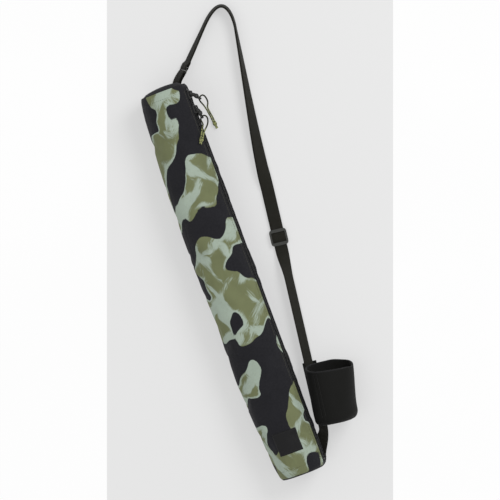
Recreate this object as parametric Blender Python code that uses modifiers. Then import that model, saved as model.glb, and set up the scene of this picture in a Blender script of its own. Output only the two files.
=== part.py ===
"""Insulated can sling: a padded fabric tube for a row of drink cans, closed by a zip with two
sliders, with a webbing shoulder strap, a strap adjuster and a soft can holder on the strap.

The tube lies along Y with its top end at +Y and its zip on the +X side. It rests on the floor
at Z = 0, and the origin is the middle of the flat strip that it rests on.
"""
import math
from collections import namedtuple

import bmesh
import bpy
from mathutils import Matrix, Vector

MM = 0.001

# Clearances
FIT_GAP = 0.3 * MM
FLOOR_GAP = 0.6 * MM

# Tube: outside size, walls and ends
TUBE_RADIUS = 44 * MM
TUBE_LENGTH = 628 * MM
SHELL_WALL = 1.2 * MM
FOAM_WALL = 5 * MM
LINER_WALL = 0.8 * MM
BASE_CUT = 0.6 * MM
PIPING_RADIUS = 1.5 * MM
CAP_DEPTH = 4.9 * MM
CAP_ROUND = 3.5 * MM
BACK_SEAM_ANGLE = 215
ARC_STEP = 6

# Zip along the tube: widths are measured from the middle of the zip
ZIP_ANGLE = 20
ZIP_SLOT_HALF = 6.5 * MM
TEETH_INNER = 0.6 * MM
TEETH_OUTER = 3.2 * MM
TEETH_RISE = 2.2 * MM
TAPE_WALL = 0.8 * MM
TAPE_EDGE = 13 * MM
STOP_LENGTH = 3 * MM

# Zip sliders and their pull tabs
SLIDER_LENGTH = 13 * MM
SLIDER_HALF_WIDTH = 5 * MM
SLIDER_PLATE = 1.5 * MM
SLIDER_WEB = 0.6 * MM
SLIDER_SPACING = 24 * MM
BRIDGE_LENGTH = 10 * MM
BRIDGE_RISE = 4.6 * MM
BRIDGE_WALL = 1.5 * MM
BRIDGE_WIDTH = 2 * MM
BRIDGE_CORNER = 1.2 * MM
TAB_LENGTH = 18.5 * MM
TAB_HALF_WIDTH = 4 * MM
TAB_WALL = 1.6 * MM
TAB_SIDE_GAP = 0.5 * MM
TAB_HOLE_FROM_TIP = 3.4 * MM
TAB_HOLE_RADIUS = 2.2 * MM
UPPER_TAB_ANGLE = 45
LOWER_TAB_ANGLE = 15

# Pull cords: one loop each, from its knot through the tab and back to the knot
CORD_RADIUS = 1.2 * MM
CORD_TURN = 4.8 * MM
KNOT_RADIUS = 3.3 * MM
KNOT_LENGTH = 13 * MM

# Sewn label on the front of the tube
LABEL_WIDTH = 42 * MM
LABEL_LENGTH = 36 * MM
LABEL_WALL = 0.7 * MM
LABEL_ANGLE = 96
LABEL_FROM_SEAM = 28 * MM

# Webbing of the shoulder strap, and where the strap runs
WEBBING_WIDTH = 20 * MM
WEBBING_WALL = 1.2 * MM
STRAP_SEWN_LENGTH = 5 * MM
STRAP_SEAM_ANGLE = -28
STRAP_LEAVE_ANGLE = 16
STRAP_LEAVE_DIP = 0.35
STRAP_EDGE_TILT = 82
RUN_MARGIN = 5 * MM
TWIST_LENGTH = 45 * MM
TWIST_ANGLE = 6.3
RIGHT_LEG_OUT = 104.3 * MM
RIGHT_LEG_BEYOND_SEAM = 87.4 * MM
RIGHT_LEG_ANGLE = 8
CLIMB_FULLNESS = 1.48
LEFT_LEG_LENGTH = 65 * MM
RING_LEAD = 14 * MM
PEAK_FULLNESS = 83 * MM

# Strap adjuster
GLIDE_ANGLE = 7.2
GLIDE_BAR = 1.6 * MM
GLIDE_BAR_WIDTH = 3 * MM
GLIDE_END_BAR = 5 * MM
GLIDE_SLOT = 6.5 * MM
GLIDE_RAIL = 3 * MM
GLIDE_SIDE_GAP = 0.6 * MM
GLIDE_CAP = 2 * MM
GLIDE_CORNER = 5 * MM
GLIDE_WRAP_RADIUS = 1.9 * MM
GLIDE_TRAVEL_DOWN = 5 * MM
GLIDE_TRAVEL_UP = 60 * MM

# Ring at the top end and the webbing tab that holds it
RING_WIRE = 1.3 * MM
RING_BAR_SPACING = 6.4 * MM
RING_CORNER = 2.5 * MM
RING_SIDE_GAP = 0.8 * MM
RING_OUT = 2.4 * MM
RING_BEYOND_SEAM = 30.9 * MM
RING_ANGLE = 44.7
RING_TILT = 66
LOOP_TAIL = 3 * MM
TAB_SEAM_ANGLE = -52
TAB_SEWN_LENGTH = 12 * MM

# Soft can holder on the strap
HOLDER_BORE_RADIUS = 33.3 * MM
HOLDER_WALL = 3 * MM
HOLDER_LENGTH = 95 * MM
HOLDER_ROUND = 6 * MM
HOLDER_BINDING = 3 * MM
HOLDER_TUBE_GAP = 5 * MM
HOLDER_FROM_SEAM = 46 * MM
HOLDER_ANGLE = 7.4
HOLDER_TRAVEL = 123 * MM
CHANNEL_SIDE = 42
CHANNEL_WALL = 1.2 * MM
CHANNEL_SLACK = 0.9 * MM
CHANNEL_SHOULDER = 1.4 * MM
CHANNEL_FOOT = 5 * MM
CHANNEL_END = 3 * MM
CHANNEL_ABOVE_RIM = 8 * MM

# Worked out from the sizes above
TUBE_Z = TUBE_RADIUS - BASE_CUT
END_RADIUS = TUBE_RADIUS - BASE_CUT
CAP_LIP = TUBE_LENGTH / 2 - CAP_DEPTH
SEAM_Y = CAP_LIP - 2 * PIPING_RADIUS - 2 * FIT_GAP
LINER_END = CAP_LIP - 2 * FIT_GAP - LINER_WALL
FOAM_OUTSIDE = TUBE_RADIUS - SHELL_WALL - FIT_GAP
LINER_OUTSIDE = FOAM_OUTSIDE - FOAM_WALL - FIT_GAP
TEETH_BASE = FOAM_OUTSIDE - TAPE_WALL
TEETH_TOP = TEETH_BASE + TEETH_RISE
ZIP_TOP = SEAM_Y - STOP_LENGTH - FIT_GAP
UPPER_Y = ZIP_TOP - FIT_GAP - SLIDER_LENGTH / 2
LOWER_Y = UPPER_Y - SLIDER_SPACING
PLATE_TOP = TEETH_TOP + FIT_GAP + SLIDER_PLATE
TAB_HINGE = PLATE_TOP + FIT_GAP + TAB_WALL / math.sqrt(2)
TAB_HOLE_X = TAB_LENGTH - TAB_HOLE_FROM_TIP
LAYER_PITCH = WEBBING_WALL + GLIDE_BAR + 2 * FIT_GAP
RING_PITCH = WEBBING_WALL + 2 * RING_WIRE + 2 * FIT_GAP
FOLD_PITCH = WEBBING_WALL + FIT_GAP
LOOP_PITCH = WEBBING_WALL + 2 * FIT_GAP
GLIDE_BAR_LOW = 2 * FIT_GAP + WEBBING_WALL
STRAP_FLAT_Z = GLIDE_BAR_LOW + GLIDE_BAR + FIT_GAP + WEBBING_WALL / 2
GLIDE_LENGTH = 2 * GLIDE_END_BAR + 2 * GLIDE_SLOT + GLIDE_BAR_WIDTH
HOLDER_RADIUS = HOLDER_BORE_RADIUS + HOLDER_WALL
CHANNEL_STRAP_RADIUS = HOLDER_RADIUS + 2 * FIT_GAP + WEBBING_WALL / 2

ALONG = Vector((0, 1, 0))
UP = Vector((0, 0, 1))


def heading(angle):
    """A level direction, turned from +Y towards +X."""
    turn = math.radians(angle)
    return Vector((math.sin(turn), math.cos(turn), 0))


def clear_scene():
    for old in list(bpy.data.objects):
        bpy.data.objects.remove(old, do_unlink=True)


def new_collection(name):
    made = bpy.data.collections.new(name)
    bpy.context.scene.collection.children.link(made)
    return made


clear_scene()
PARTS = new_collection("can_sling")
CUTTERS = new_collection("cutters")


def finish_of(name, colour, roughness, metallic=0.0):
    made = bpy.data.materials.new(name)
    made.use_nodes = True
    shader = made.node_tree.nodes["Principled BSDF"]
    shader.inputs["Base Color"].default_value = (*colour, 1)
    shader.inputs["Roughness"].default_value = roughness
    shader.inputs["Metallic"].default_value = metallic
    return made


PRINTED_FABRIC = finish_of("printed_fabric", (0.16, 0.18, 0.10), 0.85)
BLACK_FABRIC = finish_of("black_fabric", (0.022, 0.022, 0.025), 0.85)
FOAM = finish_of("foam", (0.55, 0.56, 0.56), 0.95)
LINER = finish_of("liner", (0.45, 0.47, 0.48), 0.45)
BINDING = finish_of("binding", (0.018, 0.018, 0.018), 0.8)
ZIP_TAPE = finish_of("zip_tape", (0.02, 0.02, 0.02), 0.85)
ZIP_TEETH = finish_of("zip_teeth", (0.015, 0.015, 0.015), 0.4)
METAL = finish_of("painted_metal", (0.02, 0.02, 0.02), 0.4, 0.6)
TAB_RUBBER = finish_of("tab_rubber", (0.02, 0.02, 0.02), 0.55)
CORD = finish_of("cord", (0.05, 0.055, 0.03), 0.8)
KNOT = finish_of("knot", (0.30, 0.33, 0.12), 0.8)
LABEL = finish_of("label", (0.015, 0.015, 0.015), 0.8)
WEBBING = finish_of("webbing", (0.022, 0.022, 0.017), 0.85)
PLASTIC = finish_of("moulded_plastic", (0.06, 0.062, 0.055), 0.45)
NEOPRENE = finish_of("neoprene", (0.013, 0.013, 0.012), 0.9)


def add_part(name, data, finish, parent=None, home=PARTS):
    made = bpy.data.objects.new(name, data)
    home.objects.link(made)
    data.materials.append(finish)
    made.parent = parent
    return made


def add_empty(name, matrix):
    made = bpy.data.objects.new(name, None)
    made.matrix_world = matrix
    PARTS.objects.link(made)
    return made


def frame_matrix(x_axis, y_axis, z_axis, place):
    turn = Matrix((x_axis, y_axis, z_axis)).transposed()
    return Matrix.Translation(place) @ turn.to_4x4()


def mesh_from(bm, name):
    data = bpy.data.meshes.new(name)
    bm.to_mesh(data)
    bm.free()
    return data


def box_mesh(name, low, high):
    low, high = Vector(low), Vector(high)
    bm = bmesh.new()
    bmesh.ops.create_cube(bm, size=1)
    bmesh.ops.scale(bm, vec=high - low, verts=bm.verts)
    bmesh.ops.translate(bm, vec=(low + high) / 2, verts=bm.verts)
    return mesh_from(bm, name)


def boolean(part, cutter, operation):
    cutter.hide_render = True
    cutter.display_type = "WIRE"
    cut = part.modifiers.new(cutter.name, "BOOLEAN")
    cut.object = cutter
    cut.operation = operation


def solidify(part, wall):
    skin = part.modifiers.new("wall", "SOLIDIFY")
    skin.thickness = wall
    skin.offset = 0
    skin.use_even_offset = True


def extruded_points(points, fresh):
    """The new points of an extrusion, in the order of the points that they grew from."""
    return [
        next(edge.other_vert(point) for edge in point.link_edges if edge.other_vert(point) in fresh)
        for point in points
    ]


def strip_mesh(name, rows):
    """An open surface: the first row of points, extruded to each later row in turn."""
    bm = bmesh.new()
    points = [bm.verts.new(place) for place in rows[0]]
    edges = [bm.edges.new(pair) for pair in zip(points, points[1:])]
    for row in rows[1:]:
        grown = bmesh.ops.extrude_edge_only(bm, edges=edges)["geom"]
        fresh = {item for item in grown if isinstance(item, bmesh.types.BMVert)}
        points = extruded_points(points, fresh)
        edges = [bm.edges.get(pair) for pair in zip(points, points[1:])]
        for point, place in zip(points, row):
            point.co = place
    return mesh_from(bm, name)


def arc_points(x, y, radius, start, end, count=4):
    """Points of an arc about (x, y), from one angle to another."""
    turns = [math.radians(start + (end - start) * i / count) for i in range(count + 1)]
    return [(x + radius * math.cos(turn), y + radius * math.sin(turn)) for turn in turns]


def turned(name, profile, finish, parent, closed=False, steps=48):
    """A profile of (radius, height) points, top to bottom on its outer side, turned about Z."""
    bm = bmesh.new()
    points = [bm.verts.new((radius, 0, height)) for radius, height in profile]
    pairs = list(zip(points, points[1:]))
    if closed:
        pairs.append((points[-1], points[0]))
    for pair in pairs:
        bm.edges.new(pair)
    made = add_part(name, mesh_from(bm, name), finish, parent)
    spin = made.modifiers.new("turn", "SCREW")
    spin.steps = steps
    spin.render_steps = steps
    spin.use_merge_vertices = True
    spin.merge_threshold = 0.00001
    spin.use_smooth_shade = True
    return made


def outline_curve(name, outlines, half_depth):
    """A flat shape with holes, as a filled curve with a thickness."""
    data = bpy.data.curves.new(name, "CURVE")
    data.dimensions = "2D"
    data.fill_mode = "BOTH"
    data.extrude = half_depth
    for outline in outlines:
        spline = data.splines.new("POLY")
        spline.points.add(len(outline) - 1)
        spline.use_cyclic_u = True
        for point, (x, y) in zip(spline.points, outline):
            point.co = (x, y, 0, 1)
    return data


def tube_curve(name, points, radius, closed=False):
    """A round cord or wire along the points, with its ends filled."""
    data = bpy.data.curves.new(name, "CURVE")
    data.dimensions = "3D"
    data.bevel_depth = radius
    data.bevel_resolution = 2
    data.use_fill_caps = not closed
    spline = data.splines.new("POLY")
    spline.points.add(len(points) - 1)
    spline.use_cyclic_u = closed
    for point, place in zip(spline.points, points):
        point.co = (*place, 1)
    return data


def meshed(part):
    """The part's curve as a welded mesh, so that it can be cut or joined."""
    bpy.context.view_layer.update()
    name, home, place = part.name, part.users_collection[0], part.matrix_world.copy()
    evaluated = part.evaluated_get(bpy.context.evaluated_depsgraph_get())
    data = bpy.data.meshes.new_from_object(evaluated)
    bm = bmesh.new()
    bm.from_mesh(data)
    bmesh.ops.remove_doubles(bm, verts=bm.verts, dist=0.00001)
    bm.to_mesh(data)
    bm.free()
    bpy.data.objects.remove(part)
    made = bpy.data.objects.new(name, data)
    home.objects.link(made)
    made.matrix_world = place
    return made


def smooth_curve(points, per_span):
    """A smooth curve through the points, with equal counts of points between them."""
    padded = [2 * points[0] - points[1], *points, 2 * points[-1] - points[-2]]
    found = []
    for before, start, end, after in zip(padded, padded[1:], padded[2:], padded[3:]):
        for i in range(per_span):
            t = i / per_span
            found.append(0.5 * (
                2 * start + (end - before) * t
                + (2 * before - 5 * start + 4 * end - after) * t ** 2
                + (3 * start - before - 3 * end + after) * t ** 3
            ))
    return [*found, points[-1]]


# Tube walls: printed front, plain back, foam and liner, each open along the zip


def on_tube(radius, angle, y):
    turn = math.radians(angle)
    return Vector((radius * math.cos(turn), y, TUBE_Z + radius * math.sin(turn)))


def width_angle(width, radius):
    return math.degrees(width / radius)


def arc_shell(name, outside, wall, start, end, low_y, high_y, finish):
    """Part of a cylinder about the tube's axis, from one angle to another."""
    count = max(2, round((end - start) / ARC_STEP))
    angles = [start + (end - start) * i / count for i in range(count + 1)]
    middle = outside - wall / 2
    rows = [[on_tube(middle, angle, y) for angle in angles] for y in (low_y, high_y)]
    made = add_part(name, strip_mesh(name, rows), finish)
    solidify(made, wall)
    return made


def build_tube():
    slot = width_angle(ZIP_SLOT_HALF, TUBE_RADIUS)
    seam_gap = width_angle(FIT_GAP, TUBE_RADIUS)
    arc_shell("front_panel", TUBE_RADIUS, SHELL_WALL, ZIP_ANGLE + slot, BACK_SEAM_ANGLE,
              -SEAM_Y, SEAM_Y, PRINTED_FABRIC)
    back = arc_shell("back_panel", TUBE_RADIUS, SHELL_WALL, BACK_SEAM_ANGLE + seam_gap,
                     360 + ZIP_ANGLE - slot, -SEAM_Y, SEAM_Y, BLACK_FABRIC)
    low = (-TUBE_RADIUS, -TUBE_LENGTH, -TUBE_RADIUS)
    floor_data = box_mesh("floor", low, (TUBE_RADIUS, TUBE_LENGTH, 0))
    boolean(back, add_part("floor", floor_data, BLACK_FABRIC, home=CUTTERS), "DIFFERENCE")

    opening = width_angle(TAPE_EDGE + FIT_GAP, FOAM_OUTSIDE)
    start, end = ZIP_ANGLE + opening, 360 + ZIP_ANGLE - opening
    arc_shell("foam_sleeve", FOAM_OUTSIDE, FOAM_WALL, start, end, -SEAM_Y, SEAM_Y, FOAM)
    arc_shell("liner_sleeve", LINER_OUTSIDE, LINER_WALL, start, end, -LINER_END, LINER_END, LINER)


def build_end(name, side):
    """One end of the tube. Heights count outwards from the tube's middle."""
    tilt = math.radians(-90 * side)
    place = Matrix.Translation((0, 0, TUBE_Z)) @ Matrix.Rotation(tilt, 4, "X")
    axis = add_empty(name + "_axis", place)
    end = TUBE_LENGTH / 2
    inner = END_RADIUS - SHELL_WALL
    bend = max(CAP_ROUND - SHELL_WALL, SHELL_WALL)
    cap = [(0, end)]
    cap += arc_points(END_RADIUS - CAP_ROUND, end - CAP_ROUND, CAP_ROUND, 90, 0)
    cap += [(END_RADIUS, CAP_LIP), (inner, CAP_LIP)]
    cap += arc_points(inner - bend, end - SHELL_WALL - bend, bend, 0, 90)
    cap += [(0, end - SHELL_WALL)]
    turned(name + "_cap", cap, BLACK_FABRIC, axis)

    foam_top = end - SHELL_WALL - FIT_GAP
    foam_edge = inner - FIT_GAP
    foam = [(0, foam_top)]
    foam += arc_points(foam_edge - bend, foam_top - bend, bend, 90, 0)
    foam += [(foam_edge, CAP_LIP), (0, CAP_LIP)]
    turned(name + "_foam_disc", foam, FOAM, axis)

    piping_middle = END_RADIUS - PIPING_RADIUS
    piping_height = SEAM_Y + FIT_GAP + PIPING_RADIUS
    piping = arc_points(piping_middle, piping_height, PIPING_RADIUS, 90, -225, 7)
    turned(name + "_piping", piping, BINDING, axis, closed=True)

    disc_edge = piping_middle - PIPING_RADIUS - FIT_GAP
    disc_low = LINER_END + FIT_GAP
    disc_top = disc_low + LINER_WALL
    disc = [(0, disc_top), (disc_edge, disc_top), (disc_edge, disc_low), (0, disc_low)]
    turned(name + "_liner_disc", disc, LINER, axis)


def build_label():
    reach = width_angle(LABEL_WIDTH / 2, TUBE_RADIUS)
    low = LABEL_FROM_SEAM - SEAM_Y
    arc_shell("label_patch", TUBE_RADIUS + FIT_GAP + LABEL_WALL, LABEL_WALL, LABEL_ANGLE - reach,
              LABEL_ANGLE + reach, low, low + LABEL_LENGTH, LABEL)


# Zip: its frame has X across the zip, Y outwards and Z along the tube

ZIP_ACROSS = Vector((-math.sin(math.radians(ZIP_ANGLE)), 0, math.cos(math.radians(ZIP_ANGLE))))
ZIP_OUT = Vector((math.cos(math.radians(ZIP_ANGLE)), 0, math.sin(math.radians(ZIP_ANGLE))))
ZIP_CENTRE = Vector((0, 0, TUBE_Z))


def build_zip():
    zip_frame = add_empty("zip_frame", frame_matrix(ZIP_ACROSS, ZIP_OUT, ALONG, ZIP_CENTRE))
    for name, side in (("front", 1), ("back", -1)):
        left, right = sorted((side * TEETH_INNER, side * TEETH_OUTER))
        teeth = box_mesh("teeth", (left, TEETH_BASE, -ZIP_TOP), (right, TEETH_TOP, ZIP_TOP))
        add_part("zip_teeth_" + name, teeth, ZIP_TEETH, zip_frame)
        near = ZIP_ANGLE + side * width_angle(TEETH_OUTER + FIT_GAP, FOAM_OUTSIDE)
        far = ZIP_ANGLE + side * width_angle(TAPE_EDGE, FOAM_OUTSIDE)
        start, end = sorted((near, far))
        arc_shell("zip_tape_" + name, FOAM_OUTSIDE, TAPE_WALL, start, end, -SEAM_Y, SEAM_Y, ZIP_TAPE)
    for name, side in (("top", 1), ("bottom", -1)):
        near, far = sorted((side * (ZIP_TOP + FIT_GAP), side * SEAM_Y))
        stop = box_mesh("stop", (-TEETH_OUTER, TEETH_BASE, near), (TEETH_OUTER, TEETH_TOP, far))
        add_part("zip_stop_" + name, stop, METAL, zip_frame)


def slider_outline():
    """The slider's section: a flanged plate over the teeth, a web between them, a plate under."""
    web = SLIDER_WEB / 2
    side = SLIDER_HALF_WIDTH
    inner = TEETH_OUTER + FIT_GAP
    foot = FOAM_OUTSIDE + FIT_GAP
    roof = TEETH_TOP + FIT_GAP
    under = math.sqrt(TEETH_BASE ** 2 - side ** 2) - FIT_GAP
    right = [(web, under), (web, roof), (inner, roof), (inner, foot), (side, foot), (side, PLATE_TOP)]
    left = [(-x, y) for x, y in reversed(right)]
    low = under - SLIDER_PLATE
    return right + left + [(-side, under), (-side, low), (side, low), (side, under)]


def bridge_outline():
    """The arch on the slider that the tab hangs on, as (along, outwards) points."""
    reach = BRIDGE_LENGTH / 2
    top = PLATE_TOP + BRIDGE_RISE
    root = PLATE_TOP - SLIDER_PLATE / 2
    outer = [(-reach, root), (-reach, top - BRIDGE_CORNER), (-reach + BRIDGE_CORNER, top)]
    outer += [(-x, y) for x, y in reversed(outer)]
    inside = reach - BRIDGE_WALL
    roof = top - BRIDGE_WALL
    return outer + [(inside, root), (inside, roof), (-inside, roof), (-inside, root)]


def tab_outlines():
    """The tab's edge, the window that clears the bridge, and the hole for the cord."""
    root = TAB_WALL / 2
    edge = [(-root, -TAB_HALF_WIDTH)]
    edge += arc_points(TAB_LENGTH - TAB_HALF_WIDTH, 0, TAB_HALF_WIDTH, -90, 90, 10)
    edge += [(-root, TAB_HALF_WIDTH)]
    window = BRIDGE_WIDTH / 2 + TAB_SIDE_GAP
    far = math.hypot(BRIDGE_LENGTH / 2, PLATE_TOP + BRIDGE_RISE - TAB_HINGE) + FIT_GAP
    slot = [(root, -window), (far, -window), (far, window), (root, window)]
    hole = arc_points(TAB_HOLE_X, 0, TAB_HOLE_RADIUS, 0, 330, 11)
    return [edge, slot, hole]


def tab_matrix(slider_y, angle):
    """The tab's own frame: X from the hinge to the tip, Y along the hinge."""
    turn = math.radians(angle)
    way = ZIP_OUT * math.sin(turn) - ALONG * math.cos(turn)
    place = ZIP_CENTRE + ZIP_OUT * TAB_HINGE + ALONG * slider_y
    return frame_matrix(way, ZIP_ACROSS, way.cross(ZIP_ACROSS), place)


def build_slider(name, slider_y, tab_angle):
    place = ZIP_CENTRE + ALONG * slider_y
    body_data = outline_curve("slider", [slider_outline()], SLIDER_LENGTH / 2)
    body = add_part("zip_slider_" + name, body_data, METAL)
    body.matrix_world = frame_matrix(ZIP_ACROSS, ZIP_OUT, ALONG, place)
    bridge_data = outline_curve("bridge", [bridge_outline()], BRIDGE_WIDTH / 2)
    bridge = add_part("bridge_" + name, bridge_data, METAL, home=CUTTERS)
    bridge.matrix_world = frame_matrix(ALONG, ZIP_OUT, -ZIP_ACROSS, place)
    boolean(meshed(body), meshed(bridge), "UNION")
    tab = add_part("pull_tab_" + name, outline_curve("tab", tab_outlines(), TAB_WALL / 2), TAB_RUBBER)
    tab.matrix_world = tab_matrix(slider_y, tab_angle)


# Pull cords: the routes of the two strands of each loop, from the knot to the tab.
# The upper cord droops beside the tube to the floor: out from the tube's side, along from the
# tab's hole, and rise as a share of the way from the lying knot up to the hole.
UPPER_INNER = [(18.6, -42, 0), (18.2, -39, 0), (17.2, -31.5, 0.3), (15.6, -23, 0.62), (12.6, -14, 0.88)]
UPPER_OUTER = [(21.8, -42, 0), (21.4, -39, 0), (20.6, -31, 0.32), (19.8, -21.5, 0.66), (18.8, -9, 0.97)]
# The lower cord lies on the front: lift as a share of the knot's, angle round the tube from the
# zip, and along from the hole.
LOWER_INNER = [(1.1, 20.5, -29), (1.1, 17.5, -26.5), (0.3, 12.5, -20), (0.5, 4, -11.5)]
LOWER_OUTER = [(1.1, 16, -31), (1.1, 13, -28.5), (1.2, 4.5, -21.5), (2.6, -1, -12)]


def cord_turn(matrix):
    """The cord's bend through the tab's hole, from the side near the tube to the outer side."""
    bend = arc_points(TAB_HOLE_X + CORD_TURN, 0, CORD_TURN, 90, 270, 6)
    return [matrix @ Vector((x, 0, z)) for x, z in bend]


def add_cord(name, inner, outer, bend):
    """A loop of cord: in along one strand, through the tab and out along the other."""
    route = smooth_curve([*inner, *bend, *reversed(outer)], 2)
    add_part("pull_cord_" + name, tube_curve("cord", route, CORD_RADIUS), CORD)
    middle = (inner[0] + outer[0]) / 2
    way = (inner[0] - inner[1] + outer[0] - outer[1]).normalized()
    furthest = max((end - middle).dot(way) for end in (inner[0], outer[0]))
    add_knot(name, middle + way * (furthest + FIT_GAP), way)


def add_knot(name, start, way):
    """The knot that ends a loop, just past the ends of its two strands."""
    bm = bmesh.new()
    bmesh.ops.create_uvsphere(bm, u_segments=16, v_segments=10, radius=1)
    bmesh.ops.scale(bm, vec=(KNOT_RADIUS, KNOT_RADIUS, KNOT_LENGTH / 2), verts=bm.verts)
    made = add_part("cord_knot_" + name, mesh_from(bm, "knot"), KNOT)
    turn = way.to_track_quat("Z", "Y").to_matrix().to_4x4()
    made.matrix_world = Matrix.Translation(start + way * (KNOT_LENGTH / 2 + FIT_GAP)) @ turn


def build_cords():
    matrix = tab_matrix(UPPER_Y, UPPER_TAB_ANGLE)
    hole = matrix @ Vector((TAB_HOLE_X, 0, 0))
    lying = KNOT_RADIUS + FLOOR_GAP
    strands = [
        [
            Vector((TUBE_RADIUS + out * MM, hole.y + along * MM, lying + (hole.z - lying) * rise))
            for out, along, rise in route
        ]
        for route in (UPPER_INNER, UPPER_OUTER)
    ]
    add_cord("upper", *strands, cord_turn(matrix))

    matrix = tab_matrix(LOWER_Y, LOWER_TAB_ANGLE)
    hole = matrix @ Vector((TAB_HOLE_X, 0, 0))
    seat = TUBE_RADIUS + FIT_GAP + CORD_RADIUS
    knot_lift = KNOT_RADIUS - CORD_RADIUS
    strands = [
        [
            on_tube(seat + knot_lift * lift, ZIP_ANGLE + turn, hole.y + along * MM)
            for lift, turn, along in route
        ]
        for route in (LOWER_INNER, LOWER_OUTER)
    ]
    add_cord("lower", *strands, cord_turn(matrix))


# Webbing: a strip through stations, each with a place, the way on, and the way across its width

Station = namedtuple("Station", "place way across")


def station(place, way, tilt):
    """Tilt 0 lies flat. A positive tilt raises the edge on the right of the way on."""
    turn = math.radians(tilt)
    level = way.cross(UP).normalized()
    across = level * math.cos(turn) + UP * math.sin(turn)
    across = (across - way * across.dot(way)).normalized()
    return Station(place, way, across)


def face_of(stop):
    """The way that the webbing's upper face points at a station."""
    return stop.across.cross(stop.way).normalized()


def shifted(stop, distance):
    return Station(stop.place + face_of(stop) * distance, stop.way, stop.across)


def ribbon(name, stations, finish=WEBBING):
    reach = WEBBING_WIDTH / 2
    rows = [[s.place - s.across * reach, s.place + s.across * reach] for s in stations]
    made = add_part(name, strip_mesh(name, rows), finish)
    solidify(made, WEBBING_WALL)
    return made


def sweep(
    start, start_way, start_tilt, end, end_way, end_tilt, fullness, count=10, early=False, late=False
):
    """Stations along a smooth bend from one place and way to another. The twist on the way is even,
    or comes early or late."""
    found = []
    for i in range(1, count):
        t = i / count
        ease = t * t * (3 - 2 * t)
        place = (
            start * (1 - ease) + end * ease
            + start_way * fullness * (t ** 3 - 2 * t ** 2 + t)
            + end_way * fullness * (t ** 3 - t ** 2)
        )
        way = (
            (end - start) * (6 * t - 6 * t * t)
            + start_way * fullness * (3 * t * t - 4 * t + 1)
            + end_way * fullness * (3 * t * t - 2 * t)
        )
        turned = 1 - (1 - t) ** 2 if early else t * t if late else ease
        found.append(station(place, way.normalized(), start_tilt + (end_tilt - start_tilt) * turned))
    return found


def fold(middle, stop, pitch, count=6):
    """Stations of a fold round a bar: from above the bar, round its far side, to below it."""
    out = face_of(stop)
    found = []
    for i in range(count + 1):
        turn = math.pi * i / count
        place = middle + (out * math.cos(turn) + stop.way * math.sin(turn)) * pitch / 2
        way = stop.way * math.cos(turn) - out * math.sin(turn)
        found.append(Station(place, way, stop.across))
    return found


def lifted(stop):
    """A station at the height at which both layers of webbing clear the floor."""
    steep = abs(stop.across.z)
    height = STRAP_FLAT_Z * math.sqrt(1 - steep ** 2) + (WEBBING_WIDTH / 2 + FLOOR_GAP) * steep
    place = Vector((stop.place.x, stop.place.y, height))
    return Station(place, stop.way, stop.across)


# Places on the strap's route: the holder's run, the adjuster's run, and the ring

HOLDER_WAY = heading(HOLDER_ANGLE)
HOLDER_RIGHT = HOLDER_WAY.cross(UP)
HOLDER_Z = HOLDER_RADIUS + FIT_GAP
HOLDER_REACH = TUBE_RADIUS + HOLDER_RADIUS + HOLDER_TUBE_GAP
HOLDER_X = math.sqrt(HOLDER_REACH ** 2 - (TUBE_Z - HOLDER_Z) ** 2)
HOLDER_BASE = Vector((HOLDER_X, HOLDER_FROM_SEAM - SEAM_Y, HOLDER_Z))
CHANNEL_OUT = -(
    HOLDER_RIGHT * math.cos(math.radians(CHANNEL_SIDE)) + UP * math.sin(math.radians(CHANNEL_SIDE))
)
HOLDER_RUN_START = HOLDER_BASE + CHANNEL_OUT * CHANNEL_STRAP_RADIUS - HOLDER_WAY * RUN_MARGIN
HOLDER_RUN_LENGTH = HOLDER_LENGTH + CHANNEL_ABOVE_RIM + HOLDER_TRAVEL + 2 * RUN_MARGIN
HOLDER_RUN_END = HOLDER_RUN_START + HOLDER_WAY * HOLDER_RUN_LENGTH

GLIDE_WAY = heading(GLIDE_ANGLE)
GLIDE_RUN_START = HOLDER_RUN_END + heading(TWIST_ANGLE) * TWIST_LENGTH
GLIDE_RUN_START.z = STRAP_FLAT_Z
GLIDE_REST = GLIDE_RUN_START + GLIDE_WAY * (RUN_MARGIN + GLIDE_TRAVEL_DOWN + GLIDE_LENGTH / 2)
GLIDE_RUN_END = GLIDE_REST + GLIDE_WAY * (GLIDE_LENGTH / 2 + GLIDE_TRAVEL_UP + RUN_MARGIN)

RING_WAY = heading(RING_ANGLE)
RING_HALF_WIDTH = WEBBING_WIDTH / 2 + RING_SIDE_GAP + RING_WIRE
RING_Z = (RING_HALF_WIDTH + RING_WIRE) * math.sin(math.radians(RING_TILT)) + FLOOR_GAP
RING_CENTRE = Vector((TUBE_RADIUS + RING_OUT, SEAM_Y + RING_BEYOND_SEAM, RING_Z))
RING_STRAP_BAR = RING_CENTRE + RING_WAY * RING_BAR_SPACING / 2
RING_TAB_BAR = RING_CENTRE - RING_WAY * RING_BAR_SPACING / 2


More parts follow.
